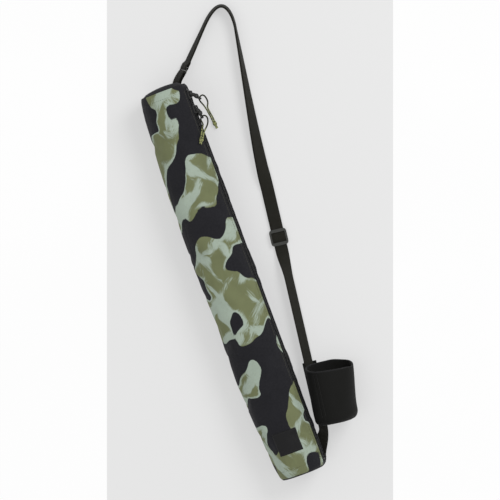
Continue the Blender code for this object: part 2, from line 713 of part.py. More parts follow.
def strap_route():
    """The shoulder strap from the lower seam to the ring, and the stations above the adjuster."""
    seat = TUBE_RADIUS + FIT_GAP + WEBBING_WALL / 2
    seam_tilt = STRAP_SEAM_ANGLE + 90
    holder_tilt = CHANNEL_SIDE - 90
    sewn = on_tube(seat, STRAP_SEAM_ANGLE, FIT_GAP - SEAM_Y)
    leaving = on_tube(seat, STRAP_SEAM_ANGLE, STRAP_SEWN_LENGTH - SEAM_Y)
    lead = (HOLDER_RUN_START - leaving).length
    lower = [station(sewn, ALONG, seam_tilt), station(leaving, ALONG, seam_tilt)]
    leaving_way = (heading(STRAP_LEAVE_ANGLE) - UP * STRAP_LEAVE_DIP).normalized()
    lower += sweep(leaving, leaving_way, seam_tilt, HOLDER_RUN_START, HOLDER_WAY, holder_tilt, lead)
    lower += [station(place, HOLDER_WAY, holder_tilt) for place in (HOLDER_RUN_START, HOLDER_RUN_END)]
    lower += sweep(
        HOLDER_RUN_END, HOLDER_WAY, holder_tilt, GLIDE_RUN_START, GLIDE_WAY, 0, TWIST_LENGTH, late=True
    )
    lower += [station(GLIDE_RUN_START, GLIDE_WAY, 0)]

    tilt = -STRAP_EDGE_TILT
    edge_z = lifted(station(GLIDE_RUN_END, ALONG, tilt)).place.z
    right_top = Vector((TUBE_RADIUS + RIGHT_LEG_OUT, SEAM_Y + RIGHT_LEG_BEYOND_SEAM, edge_z))
    left_end = RING_STRAP_BAR + RING_WAY * RING_LEAD
    left_end.z = edge_z
    left_top = left_end + RING_WAY * LEFT_LEG_LENGTH
    right_way = heading(RIGHT_LEG_ANGLE)
    rise = (right_top - GLIDE_RUN_END).length * CLIMB_FULLNESS
    upper = [station(GLIDE_RUN_END, GLIDE_WAY, 0)]
    climb = sweep(GLIDE_RUN_END, GLIDE_WAY, 0, right_top, right_way, tilt, rise, 16, early=True)
    upper += [lifted(stop) for stop in climb]
    upper += [station(right_top, right_way, tilt)]
    upper += sweep(right_top, right_way, tilt, left_top, -RING_WAY, tilt, PEAK_FULLNESS, 14)
    upper += [station(place, -RING_WAY, tilt) for place in (left_top, left_end)]

    at_ring = station(RING_STRAP_BAR, -RING_WAY, -RING_TILT)
    above = shifted(at_ring, RING_PITCH / 2)
    tail = RING_WAY * (LOOP_TAIL + FIT_GAP)
    arrive = Station(above.place + tail, above.way, above.across)
    upper += sweep(left_end, -RING_WAY, tilt, arrive.place, -RING_WAY, -RING_TILT, RING_LEAD, 6)
    upper += [arrive]
    loop = fold(RING_STRAP_BAR, at_ring, RING_PITCH)
    last = loop[-1]
    loop += [Station(last.place + RING_WAY * LOOP_TAIL, last.way, last.across)]
    return lower, upper, loop


def return_route(upper):
    """The second layer of the strap, under the first: from the adjuster's bar up to the ring."""
    flat = station(GLIDE_REST, GLIDE_WAY, 0)
    middle = GLIDE_REST - GLIDE_WAY * (GLIDE_BAR_WIDTH / 2 - 2 * FIT_GAP)
    middle.z = FIT_GAP + WEBBING_WALL / 2 + GLIDE_WRAP_RADIUS
    found = []
    for i in range(5):
        turn = math.radians(90 * i / 4)
        place = middle - (GLIDE_WAY * math.cos(turn) + UP * math.sin(turn)) * GLIDE_WRAP_RADIUS
        way = GLIDE_WAY * math.sin(turn) - UP * math.cos(turn)
        found.append(Station(place, way, flat.across))
    last_wide, first_wide = 8, len(upper) - 7
    for i, stop in enumerate(upper):
        near_glide = max(0, 1 - i / last_wide)
        near_ring = max(0, i - first_wide) / (len(upper) - 1 - first_wide)
        extra = (LAYER_PITCH - LOOP_PITCH) * near_glide + (RING_PITCH - LOOP_PITCH) * near_ring
        found.append(shifted(stop, -LOOP_PITCH - extra))
    return found


def build_strap():
    lower, upper, loop = strap_route()
    ribbon("shoulder_strap", lower + upper + loop)
    ribbon("strap_return", return_route(upper))


def build_ring():
    side, length, corner = RING_HALF_WIDTH, RING_BAR_SPACING / 2, RING_CORNER
    corners = ((1, 1, 0), (-1, 1, 90), (-1, -1, 180), (1, -1, 270))
    outline = []
    for x, y, turn in corners:
        outline += arc_points(x * (length - corner), y * (side - corner), corner, turn, turn + 90, 3)
    across = station(RING_CENTRE, RING_WAY, RING_TILT).across
    points = [RING_CENTRE + RING_WAY * along + across * wide for along, wide in outline]
    add_part("strap_ring", tube_curve("ring", points, RING_WIRE, closed=True), PLASTIC)


def build_anchor_tab():
    """A strip of webbing, sewn to the tube at both ends and folded round the ring's bar."""
    seat = TUBE_RADIUS + FIT_GAP + WEBBING_WALL / 2 + FOLD_PITCH / 2
    seam_tilt = 90 + TAB_SEAM_ANGLE
    sewn = on_tube(seat, TAB_SEAM_ANGLE, SEAM_Y - TAB_SEWN_LENGTH)
    leaving = on_tube(seat, TAB_SEAM_ANGLE, SEAM_Y)
    at_ring = station(RING_TAB_BAR, RING_WAY, RING_TILT)
    lead = (RING_TAB_BAR - leaving).length
    middle = [station(sewn, ALONG, seam_tilt), station(leaving, ALONG, seam_tilt)]
    middle += sweep(leaving, ALONG, seam_tilt, RING_TAB_BAR, RING_WAY, RING_TILT, lead)
    out, back = [], []
    for i, stop in enumerate(middle):
        share = max(0, i - 1) / (len(middle) - 1)
        pitch = FOLD_PITCH + (RING_PITCH - FOLD_PITCH) * share
        out.append(shifted(stop, pitch / 2))
        back.append(shifted(stop, -pitch / 2))
    ribbon("anchor_tab", out + fold(RING_TAB_BAR, at_ring, RING_PITCH) + back[::-1])


def build_adjuster():
    """A frame that the strap threads: over its middle bar and under its two end bars."""
    right = GLIDE_WAY.cross(UP)
    place = Vector((GLIDE_REST.x, GLIDE_REST.y, 0))
    matrix = frame_matrix(right, GLIDE_WAY, UP, place)
    inside = WEBBING_WIDTH / 2 + GLIDE_SIDE_GAP
    side = inside + GLIDE_RAIL
    seat = inside + GLIDE_RAIL / 2
    reach = GLIDE_LENGTH / 2
    roof = STRAP_FLAT_Z + WEBBING_WALL / 2 + FIT_GAP
    top = roof + GLIDE_CAP
    bar_top = GLIDE_BAR_LOW + GLIDE_BAR
    bar = box_mesh("bar", (-seat, -GLIDE_BAR_WIDTH / 2, GLIDE_BAR_LOW), (seat, GLIDE_BAR_WIDTH / 2, bar_top))
    frame = add_part("tri_glide", bar, PLASTIC)
    frame.matrix_world = matrix
    pieces = {
        "left_rail": ((-side, -reach, GLIDE_BAR_LOW), (-inside, reach, top)),
        "right_rail": ((inside, -reach, GLIDE_BAR_LOW), (side, reach, top)),
        "lower_end_bar": ((-seat, -reach, roof), (seat, GLIDE_END_BAR - reach, top)),
        "upper_end_bar": ((-seat, reach - GLIDE_END_BAR, roof), (seat, reach, top)),
    }
    for name, (low, high) in pieces.items():
        piece = add_part(name, box_mesh(name, low, high), PLASTIC, home=CUTTERS)
        piece.matrix_world = matrix
        boolean(frame, piece, "UNION")
    corners = [(side, reach, 0), (-side, reach, 90), (-side, -reach, 180), (side, -reach, 270)]
    outline = []
    for x, y, turn in corners:
        x -= math.copysign(GLIDE_CORNER, x)
        y -= math.copysign(GLIDE_CORNER, y)
        outline += arc_points(x, y, GLIDE_CORNER, turn, turn + 90)
    rounded = add_part("rounded_frame", outline_curve("rounded_frame", [outline], top), PLASTIC, home=CUTTERS)
    rounded.matrix_world = matrix
    boolean(frame, meshed(rounded), "INTERSECT")


# Can holder: a soft cup with its strap channel, in a frame with Y from its base to its rim


def build_holder():
    frame = add_empty("holder_frame", frame_matrix(HOLDER_RIGHT, HOLDER_WAY, UP, HOLDER_BASE))
    axis = add_empty("holder_axis", Matrix.Rotation(math.radians(-90), 4, "X"))
    axis.parent = frame
    floor_top = HOLDER_WALL
    base_top = HOLDER_ROUND + HOLDER_WALL / 2
    bend = HOLDER_ROUND - HOLDER_WALL
    cup = [(0, floor_top)]
    cup += arc_points(HOLDER_BORE_RADIUS - bend, floor_top + bend, bend, -90, 0)
    cup += [(HOLDER_BORE_RADIUS, base_top), (HOLDER_RADIUS, base_top)]
    cup += arc_points(HOLDER_RADIUS - HOLDER_ROUND, HOLDER_ROUND, HOLDER_ROUND, 0, -90)
    cup += [(0, 0)]
    turned("holder_base", cup, NEOPRENE, axis)

    low = base_top + FIT_GAP
    high = HOLDER_LENGTH - HOLDER_BINDING - FIT_GAP
    outside, inside = HOLDER_RADIUS, HOLDER_BORE_RADIUS
    wall = [(outside, high), (outside, low), (inside, low), (inside, high)]
    turned("holder_sleeve", wall, NEOPRENE, axis, closed=True)

    round_edge = HOLDER_WALL / 2
    middle = HOLDER_BORE_RADIUS + round_edge
    foot = HOLDER_LENGTH - HOLDER_BINDING
    binding = arc_points(middle, HOLDER_LENGTH - round_edge, round_edge, 180, 0, 6)
    binding += [(HOLDER_RADIUS, foot), (HOLDER_BORE_RADIUS, foot)]
    turned("holder_binding", binding, BINDING, axis, closed=True)

    flat = CHANNEL_STRAP_RADIUS + WEBBING_WALL / 2 + CHANNEL_SLACK + CHANNEL_WALL / 2
    shoulder = WEBBING_WIDTH / 2 + CHANNEL_SHOULDER
    foot_out = WEBBING_WIDTH / 2 + CHANNEL_FOOT
    foot_radius = HOLDER_RADIUS + FIT_GAP + CHANNEL_WALL * 0.6
    foot_in = math.sqrt(foot_radius ** 2 - foot_out ** 2)
    section = [(-foot_out, foot_in), (-shoulder, flat), (shoulder, flat), (foot_out, foot_in)]
    turn = math.radians(CHANNEL_SIDE)
    out = Vector((-math.cos(turn), 0, -math.sin(turn)))
    wide = Vector((math.sin(turn), 0, -math.cos(turn)))
    start = base_top + CHANNEL_END
    end = HOLDER_LENGTH + CHANNEL_ABOVE_RIM
    rows = [[wide * s + out * r + ALONG * y for s, r in section] for y in (start, end)]
    channel = add_part("holder_channel", strip_mesh("channel", rows), NEOPRENE, frame)
    solidify(channel, CHANNEL_WALL)


build_tube()
build_end("top", 1)
build_end("bottom", -1)
build_label()
build_zip()
build_slider("upper", UPPER_Y, UPPER_TAB_ANGLE)
build_slider("lower", LOWER_Y, LOWER_TAB_ANGLE)
build_cords()
build_strap()
build_ring()
build_anchor_tab()
build_adjuster()
build_holder()
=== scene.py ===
import math
from collections import namedtuple

import bpy
import numpy as np
from mathutils import Matrix, Vector, noise


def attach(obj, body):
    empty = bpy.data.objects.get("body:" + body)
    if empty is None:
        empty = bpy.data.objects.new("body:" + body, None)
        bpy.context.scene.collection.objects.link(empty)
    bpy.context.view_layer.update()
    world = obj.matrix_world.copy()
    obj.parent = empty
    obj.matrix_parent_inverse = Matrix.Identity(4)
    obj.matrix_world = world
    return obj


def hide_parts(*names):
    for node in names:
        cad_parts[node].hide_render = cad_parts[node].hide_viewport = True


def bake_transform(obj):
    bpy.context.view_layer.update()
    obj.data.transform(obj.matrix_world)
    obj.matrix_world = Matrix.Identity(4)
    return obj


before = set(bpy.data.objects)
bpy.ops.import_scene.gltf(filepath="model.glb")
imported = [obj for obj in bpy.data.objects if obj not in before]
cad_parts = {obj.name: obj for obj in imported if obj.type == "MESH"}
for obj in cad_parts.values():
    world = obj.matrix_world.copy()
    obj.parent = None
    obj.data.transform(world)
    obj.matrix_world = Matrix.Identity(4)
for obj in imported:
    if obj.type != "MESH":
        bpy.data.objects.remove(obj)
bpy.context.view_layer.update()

MM = 0.001

# Sizes, clearances and angles in degrees. Most are those of the CAD model. The bend of the cords,
# the loop of the strap and the sag of the holder are the visible pieces' own
FIT_GAP = 0.3 * MM
FLOOR_GAP = 0.6 * MM
TUBE_RADIUS = 44 * MM
TUBE_LENGTH = 628 * MM
SHELL_WALL = 1.2 * MM
BASE_CUT = 0.6 * MM
TUBE_Z = TUBE_RADIUS - BASE_CUT
END_RADIUS = TUBE_RADIUS - BASE_CUT
CAP_DEPTH = 4.9 * MM
CAP_LIP = TUBE_LENGTH / 2 - CAP_DEPTH
PIPING_RADIUS = 1.5 * MM
SEAM_Y = CAP_LIP - 2 * PIPING_RADIUS - 2 * FIT_GAP
BACK_SEAM_ANGLE = 215
ZIP_ANGLE = 20
ZIP_SLOT_HALF = 6.5 * MM
FOAM_OUTSIDE = 42.5 * MM
FOAM_WALL = 5 * MM
LINER_OUTSIDE = 37.2 * MM
LINER_WALL = 0.8 * MM
LINER_END = 307.7 * MM
TAPE_WALL = 0.8 * MM
TAPE_EDGE = 13 * MM
TEETH_OUTER = 3.2 * MM
TEETH_BASE = FOAM_OUTSIDE - TAPE_WALL
TEETH_TOP = TEETH_BASE + 2.2 * MM
ZIP_TOP = 302.2 * MM
UPPER_Y = 295.4 * MM
LOWER_Y = 271.4 * MM
TAB_HINGE = 47.1314 * MM
TAB_LENGTH = 18.5 * MM
TAB_HALF_WIDTH = 4 * MM
TAB_HOLE_X = 15.1 * MM
UPPER_TAB_ANGLE = 45
LOWER_TAB_ANGLE = 15
CORD_RADIUS = 1.2 * MM
CORD_TURN = 5.6 * MM
CORD_OUT = 0.9 * MM
KNOT_RADIUS = 3.3 * MM
KNOT_LENGTH = 13 * MM
LABEL_WIDTH = 42 * MM
LABEL_LENGTH = 36 * MM
LABEL_WALL = 0.7 * MM
LABEL_ANGLE = 96
LABEL_FROM_SEAM = 28 * MM
WEBBING_WIDTH = 20 * MM
WEBBING_WALL = 1.2 * MM
STRAP_SEWN_LENGTH = 5 * MM
STRAP_SEAM_ANGLE = -28
STRAP_LEAVE_ANGLE = 16
STRAP_LEAVE_DIP = 0.35
STRAIGHTENED = 0.75
RUN_MARGIN = 5 * MM
TWIST_LENGTH = 45 * MM
TWIST_ANGLE = 6.3
STRAP_EDGE_Z = 11.1 * MM
RIGHT_LEG_TOP = (145.95 * MM, 370.0 * MM)
RIGHT_LEG_ANGLE = 9.6
CLIMB_FULLNESS = 1.16
LEFT_LEG_LENGTH = 60.3 * MM
RING_LEAD = 14 * MM
PEAK_FULLNESS = (91 * MM, 178 * MM)
GLIDE_ANGLE = 7.2
GLIDE_BAR = 1.6 * MM
GLIDE_BAR_WIDTH = 3 * MM
GLIDE_LENGTH = 26 * MM
GLIDE_END_BAR = 5 * MM
GLIDE_WRAP_RADIUS = 1.9 * MM
GLIDE_TRAVEL_DOWN = 5 * MM
GLIDE_TRAVEL_UP = 60 * MM
RING_WIRE = 1.3 * MM
RING_BAR_SPACING = 6.4 * MM
RING_SIDE_GAP = 0.8 * MM
RING_OUT = 2.4 * MM
RING_BEYOND_SEAM = 30.9 * MM
RING_ANGLE = 44.7
RING_TILT = 66
LOOP_TAIL = 3 * MM
TAB_SEAM_ANGLE = -52
TAB_SEWN_LENGTH = 12 * MM
HOLDER_BORE_RADIUS = 33.3 * MM
HOLDER_WALL = 3 * MM
HOLDER_RADIUS = HOLDER_BORE_RADIUS + HOLDER_WALL
HOLDER_LENGTH = 95 * MM
HOLDER_ROUND = 6 * MM
HOLDER_TUBE_GAP = 5 * MM
HOLDER_FROM_SEAM = 46 * MM
HOLDER_ANGLE = 7.4
HOLDER_TRAVEL = 123 * MM
HOLDER_SAG = -1.3 * MM
CHANNEL_SIDE = 42
CHANNEL_WALL = 1.2 * MM
CHANNEL_SLACK = 0.9 * MM
CHANNEL_ABOVE_RIM = 8 * MM
LAYER_PITCH = WEBBING_WALL + GLIDE_BAR + 2 * FIT_GAP
RING_PITCH = WEBBING_WALL + 2 * RING_WIRE + 2 * FIT_GAP
FOLD_PITCH = WEBBING_WALL + FIT_GAP
STRAP_FLAT_Z = 4.3 * MM
CHANNEL_STRAP_RADIUS = HOLDER_RADIUS + 2 * FIT_GAP + WEBBING_WALL / 2

ALONG = Vector((0, 1, 0))
UP = Vector((0, 0, 1))


def heading(angle):
    """A level direction, turned from +Y towards +X."""
    turn = math.radians(angle)
    return Vector((math.sin(turn), math.cos(turn), 0))


def smooth(low, high, value):
    """0 at low, 1 at high, and an even ease between them."""
    share = min(1.0, max(0.0, (value - low) / (high - low)))
    return share * share * (3 - 2 * share)


# Camera: straight above, turned so that the tube leans as it does in the photograph
IMAGE_CENTRE = (45.9 * MM, 37.6 * MM)
IMAGE_TURN = -20.4
IMAGE_HALF_WIDTH = 387.5 * MM
CAMERA_DISTANCE = 5.0
SENSOR_WIDTH = 36
FOCUS_Z = 40 * MM


def add_object(name, data):
    made = bpy.data.objects.new(name, data)
    bpy.context.scene.collection.objects.link(made)
    return made


def add_camera():
    data = bpy.data.cameras.new("camera")
    data.sensor_width = SENSOR_WIDTH
    data.lens = SENSOR_WIDTH / 2 * CAMERA_DISTANCE / IMAGE_HALF_WIDTH
    data.clip_end = 4 * CAMERA_DISTANCE
    made = add_object("camera", data)
    made.location = (*IMAGE_CENTRE, FOCUS_Z + CAMERA_DISTANCE)
    made.rotation_euler = (0, 0, math.radians(IMAGE_TURN))
    bpy.context.scene.camera = made


# Shader nodes

LOOKS = {}
FABRIC_SHEEN = 0.04
FABRIC_SPECULAR = 0.15


class Finish:
    """One material, kept in LOOKS, and short ways to add and join its nodes."""

    def __init__(self, name, roughness, specular, sheen=0.0):
        self.material = LOOKS[name] = bpy.data.materials.new(name + "_look")
        self.material.use_nodes = True
        self.tree = self.material.node_tree
        self.shader = self.tree.nodes["Principled BSDF"]
        self.shader.inputs["Roughness"].default_value = roughness
        self.shader.inputs["Specular IOR Level"].default_value = specular
        self.shader.inputs["Sheen Weight"].default_value = sheen

    def put(self, socket, value):
        if isinstance(value, bpy.types.NodeSocket):
            self.tree.links.new(value, socket)
        else:
            socket.default_value = value

    def node(self, kind, inputs, **settings):
        """A new node. inputs holds values or links, by the name or the number of their socket."""
        made = self.tree.nodes.new("ShaderNode" + kind)
        for name, value in settings.items():
            setattr(made, name, value)
        for key, value in inputs.items():
            self.put(made.inputs[key], value)
        return made

    def cloth(self):
        """The place on the flat cloth, in metres."""
        return self.node("UVMap", {}, uv_map="cloth").outputs["UV"]

    def place(self):
        return self.node("TexCoord", {}).outputs["Object"]

    def mapped(self, vector, scale):
        return self.node("Mapping", {"Vector": vector, "Scale": scale}).outputs["Vector"]

    def slanted(self, vector, turn, across, along, offset=(0, 0, 0)):
        """The vector turned, then measured in those two lengths."""
        inputs = {"Vector": vector, "Location": offset, "Rotation": (0, 0, turn),
                  "Scale": (across, along, 1)}
        return self.node("Mapping", inputs, vector_type="TEXTURE").outputs["Vector"]

    def drifted(self, vector, scale, amount):
        """The vector pushed about by broad noise."""
        broad = self.node("TexNoise", {"Vector": vector, "Scale": scale, "Detail": 2.0})
        inputs = {0: broad.outputs["Color"], 1: (amount, amount, 0), 2: vector}
        return self.node("VectorMath", inputs, operation="MULTIPLY_ADD").outputs[0]

    def split(self, vector):
        return self.node("SeparateXYZ", {0: vector}).outputs

    def math(self, operation, *values):
        return self.node("Math", dict(enumerate(values)), operation=operation).outputs[0]

    def noise(self, vector, scale, detail=2.0, roughness=0.5):
        inputs = {"Vector": vector, "Scale": scale, "Detail": detail, "Roughness": roughness}
        return self.node("TexNoise", inputs).outputs[0]

    def step(self, value, low, high, start=0.0, end=1.0):
        """A smooth step of the value from low to high."""
        inputs = dict(enumerate((value, low, high, start, end)))
        return self.node("MapRange", inputs, interpolation_type="SMOOTHSTEP").outputs[0]

    def mix(self, factor, *colours):
        """Two colours mixed. Each is a link, or red, green and blue."""
        first, second = (c if isinstance(c, bpy.types.NodeSocket) else (*c, 1) for c in colours)
        return self.node("Mix", {0: factor, 6: first, 7: second}, data_type="RGBA").outputs[2]

    def tones(self, factor, colour, dark, light):
        """A darker and a lighter tone of one colour mixed."""
        return self.mix(factor, shade(colour, dark), shade(colour, light))

    def wave(self, value, pitch, phase=0.0):
        """A sine of the value, from 0 to 1, with that pitch."""
        turn = self.math("MULTIPLY_ADD", value, 2 * math.pi / pitch, phase)
        return self.math("MULTIPLY_ADD", self.math("SINE", turn), 0.5, 0.5)

    def weave(self, vector, pitch):
        """Height of a plain weave: threads over and under in both directions."""
        across, along, _ = self.split(vector)
        threads = []
        for phase in (0.0, math.pi):
            waves = [self.wave(value, pitch, phase) for value in (across, along)]
            threads.append(self.math("MULTIPLY", *waves))
        return self.math("ADD", *threads)

    def colour(self, value):
        self.put(self.shader.inputs["Base Color"], value)

    def rough(self, value, low, high, start=0.3, end=0.7):
        """Roughness from low to high, while the value goes from start to end."""
        self.put(self.shader.inputs["Roughness"], self.step(value, start, end, low, high))

    def bump(self, height, distance, strength):
        inputs = {"Height": height, "Distance": distance, "Strength": strength}
        self.put(self.shader.inputs["Normal"], self.node("Bump", inputs).outputs["Normal"])


def shade(colour, share):
    return tuple(share * value for value in colour)


BLACK = (0.0130, 0.0130, 0.0158)
OLIVE = (0.168, 0.186, 0.092)
SAGE = (0.380, 0.453, 0.380)
THREAD = (0.105, 0.100, 0.072)
# Brush strokes of the print: their slant, width and length, the level above which they show, and
# where their noise starts
STROKES = ((0.85, 0.030, 0.10, 0.657, (0.3, 0.1, 0)), (-0.6, 0.026, 0.085, 0.667, (0.05, 0.7, 0)))
# Width and length of a bristle's mark, in a stroke and in the pale edge of a patch
STROKE_BRISTLE, EDGE_BRISTLE = (0.0014, 0.014), (0.0014, 0.009)
PATCH_LEVELS, EDGE_LEVELS = (0.484, 0.490), (0.468, 0.488)


def printed_fabric():
    """Generic camouflage: olive patches on near black, crossed and edged by pale dry strokes."""
    made = Finish("printed_fabric", 0.8, FABRIC_SPECULAR, FABRIC_SHEEN)
    flat = made.cloth()
    bent = made.drifted(flat, 14.0, 0.05)
    fine = made.noise(flat, 320, 3.0, 0.6)
    field = made.noise(made.slanted(bent, 0.5, 0.062, 0.082, (0.031, 0.012, 0)), 1.0, 1.0, 0.4)
    field = made.math("MULTIPLY_ADD", fine, 0.012, field)
    patch = made.step(field, *PATCH_LEVELS)
    strokes = []
    for turn, across, along, level, offset in STROKES:
        bristle = made.noise(made.slanted(bent, turn, *STROKE_BRISTLE), 1.0, 3.0, 0.6)
        blot = made.noise(made.slanted(bent, turn, across, along, offset), 1.0, 1.5, 0.45)
        blot = made.math("MULTIPLY_ADD", bristle, 0.22, blot)
        strokes.append(made.step(blot, level, level + 0.06))
    bristle = made.noise(made.slanted(flat, 0.9, *EDGE_BRISTLE), 1.0, 3.0, 0.6)
    edge = made.math("MULTIPLY_ADD", bristle, -0.07, field)
    rim = made.step(edge, *EDGE_LEVELS, 1.0, 0.0)
    rim = made.math("MULTIPLY", rim, made.step(made.noise(flat, 16, 1.0), 0.45, 0.52))
    pale = made.math("MAXIMUM", made.math("MAXIMUM", *strokes), rim)
    pale = made.math("MULTIPLY", pale, made.step(fine, 0.25, 0.5, 0.74, 0.97))
    cloudy = made.noise(flat, 40, 2.0)
    sage = made.tones(cloudy, SAGE, 0.86, 1.1)
    greens = made.mix(pale, made.tones(cloudy, OLIVE, 0.82, 1.15), sage)
    grain = made.weave(flat, 0.9 * MM)
    mixed = made.mix(patch, made.tones(cloudy, BLACK, 0.8, 1.25), greens)
    made.colour(made.mix(made.math("MULTIPLY", grain, 0.16), mixed, shade(BLACK, 0.7)))
    made.rough(fine, 0.72, 0.9)
    made.bump(made.math("MULTIPLY_ADD", fine, 0.4, grain), 0.09 * MM, 0.6)


def plain_fabric(name, colour, pitch, depth, roughness=0.85):
    """Woven cloth of one colour, with lighter and darker yarns."""
    made = Finish(name, roughness, FABRIC_SPECULAR, FABRIC_SHEEN)
    flat = made.cloth()
    grain = made.weave(flat, pitch)
    cloudy = made.noise(flat, 60, 3.0)
    tone = made.tones(cloudy, colour, 0.75, 1.25)
    made.colour(made.mix(made.math("MULTIPLY", grain, 0.3), tone, shade(colour, 0.55)))
    made.rough(cloudy, roughness - 0.08, roughness + 0.06)
    made.bump(grain, depth, 0.7)


def webbing_fabric():
    """Strap webbing: a herringbone of slanting ribs with plain edges."""
    made = Finish("webbing", 0.8, FABRIC_SPECULAR, FABRIC_SHEEN)
    flat = made.cloth()
    across, along, _ = made.split(flat)
    leg = made.math("PINGPONG", made.math("ADD", across, 0.1), 2.0 * MM)
    ribs = made.wave(made.math("MULTIPLY_ADD", leg, 1.2, along), 1.7 * MM)
    yarns = made.wave(across, 0.8 * MM)
    height = made.math("MULTIPLY_ADD", yarns, 0.35, ribs)
    edge = made.step(made.math("ABSOLUTE", across), 8.8 * MM, 9.3 * MM)
    rest = made.math("SUBTRACT", 1.0, made.math("MULTIPLY", edge, 0.6))
    height = made.math("MULTIPLY", height, rest)
    cloudy = made.noise(flat, 90, 3.0)
    base = (0.0125, 0.0120, 0.0088)
    tone = made.tones(cloudy, base, 0.75, 1.25)
    made.colour(made.mix(made.math("MULTIPLY", height, 0.4), tone, shade(base, 1.5)))
    made.rough(cloudy, 0.7, 0.86)
    made.bump(height, 0.18 * MM, 0.8)


BRAID_PITCH = 3 * MM


def cord_fabric(name, fleck, start, end):
    """Braided cord: dark, with slanting light flecks that come in between those distances."""
    made = Finish(name, 0.75, 0.2, FABRIC_SHEEN)
    flat = made.cloth()
    turn, along, _ = made.split(flat)
    strands = [made.wave(made.math("MULTIPLY_ADD", along, side / BRAID_PITCH, turn), 0.5)
               for side in (1, -1)]
    braid = made.math("MAXIMUM", *strands)
    spots = made.noise(made.mapped(flat, (3, 420, 1)), 1.0, 1.0)
    share = made.step(along, start, end, 0.68, 0.44)
    lit = made.step(made.math("SUBTRACT", spots, share), 0.0, 0.04)
    dark = made.mix(braid, (0.010, 0.010, 0.007), (0.030, 0.031, 0.020))
    made.colour(made.mix(lit, dark, made.tones(braid, fleck, 0.55, 1.15)))
    made.bump(braid, 0.3 * MM, 0.8)


def moulded(name, colour, roughness, wear):
    """Moulded plastic, rubber or painted metal: a fine grain, and paler where edges rub."""
    made = Finish(name, roughness, 0.45)
    place = made.place()
    grain = made.noise(place, 2600, 3.0, 0.6)
    cloudy = made.noise(place, 120, 3.0)
    edges = made.step(made.node("NewGeometry", {}).outputs["Pointiness"], 0.52, 0.6)
    tone = made.tones(cloudy, colour, 0.8, 1.2)
    made.colour(made.mix(made.math("MULTIPLY", edges, wear), tone, shade(colour, 2.2)))
    made.rough(cloudy, roughness - 0.07, roughness + 0.09)
    made.bump(grain, 0.04 * MM, 0.5)


def knit_foam():
    """Foam rubber with a knitted face: a fine, slightly soft pebble."""
    made = Finish("neoprene", 0.88, 0.14, 0.03)
    flat = made.cloth()
    grain = made.weave(made.mapped(flat, (1, 0.6, 1)), 1.1 * MM)
    pebble = made.noise(flat, 1500, 2.0)
    cloudy = made.noise(flat, 45, 3.0)
    base = (0.0085, 0.0085, 0.0078)
    tone = made.tones(cloudy, base, 0.75, 1.35)
    made.colour(made.mix(made.math("MULTIPLY", grain, 0.35), tone, shade(base, 0.55)))
    made.rough(cloudy, 0.8, 0.93)
    made.bump(made.math("ADD", grain, pebble), 0.08 * MM, 0.6)


def foam_filling():
    made = Finish("foam", 0.95, 0.2)
    cells = made.noise(made.place(), 1400, 2.0)
    made.colour(made.mix(cells, (0.42, 0.43, 0.43), (0.62, 0.63, 0.63)))
    made.bump(cells, 0.2 * MM, 0.6)


def coated_lining():
    made = Finish("liner", 0.42, 0.5)
    flat = made.cloth()
    quilt = made.weave(flat, 2.4 * MM)
    made.colour(made.mix(quilt, (0.38, 0.40, 0.41), (0.52, 0.54, 0.55)))
    made.rough(made.noise(flat, 80, 3.0), 0.34, 0.5)
    made.bump(quilt, 0.1 * MM, 0.5)


printed_fabric()
for fabric in (("black_fabric", BLACK, 0.9 * MM, 0.09 * MM),
               ("binding", (0.017, 0.017, 0.0175), 0.7 * MM, 0.1 * MM),
               ("zip_tape", (0.018, 0.018, 0.018), 0.8 * MM, 0.12 * MM),
               ("label", (0.012, 0.012, 0.0125), 0.55 * MM, 0.05 * MM, 0.7),
               ("stitch", (0.030, 0.030, 0.031), 0.5 * MM, 0.05 * MM),
               ("tan_stitch", THREAD, 0.5 * MM, 0.05 * MM)):
    plain_fabric(*fabric)
webbing_fabric()
knit_foam()
foam_filling()
coated_lining()
cord_fabric("cord", (0.30, 0.32, 0.13), 10 * MM, 34 * MM)
cord_fabric("knot", (0.36, 0.38, 0.16), -2 * MM, -1 * MM)
moulded("moulded_plastic", (0.026, 0.027, 0.023), 0.5, 0.1)
moulded("zip_teeth", (0.013, 0.013, 0.013), 0.4, 0.2)
moulded("painted_metal", (0.012, 0.012, 0.012), 0.42, 0.15)
moulded("tab_rubber", (0.011, 0.011, 0.010), 0.5, 0.12)


# Meshes

THREAD_RADIUS = 0.24 * MM
# A stitch from hole to hole: shares of its length, and its height in threads
STITCH_PROFILE = ((0.0, -0.6), (0.12, 0.5), (0.5, 1.0), (0.88, 0.5), (1.0, -0.6))


def add_piece(name, data, slot, stands_for=(), body="bag", look=None, span=None):
    """A piece on a body, or, where span is given, one baked in place and left on no body. It has its
    slot's look, unless another is given."""
    data.name = name
    made = add_object(name, data)
    data.materials.append(LOOKS[look or slot])
    if span:
        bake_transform(made)
    else:
        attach(made, body)
    if stands_for:
        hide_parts(*stands_for)
    return made


def cloth_mesh(points, faces, marks):
    """A smooth mesh. marks holds the place on the flat cloth of each corner of each face."""
    data = bpy.data.meshes.new("cloth")
    data.from_pydata([tuple(p) for p in points], [], faces)
    layer = data.uv_layers.new(name="cloth")
    layer.data.foreach_set("uv", np.array(marks, np.float32).ravel())
    data.polygons.foreach_set("use_smooth", [True] * len(data.polygons))
    data.validate()
    data.update()
    return data


def ring_faces(count, wide, closed=True):
    """The faces between rows of points, each row closed to a ring or open."""
    found = []
    for i in range(count - 1):
        for j in range(wide if closed else wide - 1):
            k = (j + 1) % wide
            found.append((i * wide + j, i * wide + k, (i + 1) * wide + k, (i + 1) * wide + j))
    return found


def end_faces(count, wide):
    """The faces that close the first and the last ring of that many points."""
    return [tuple(reversed(range(wide))), tuple(range(count - wide, count))]


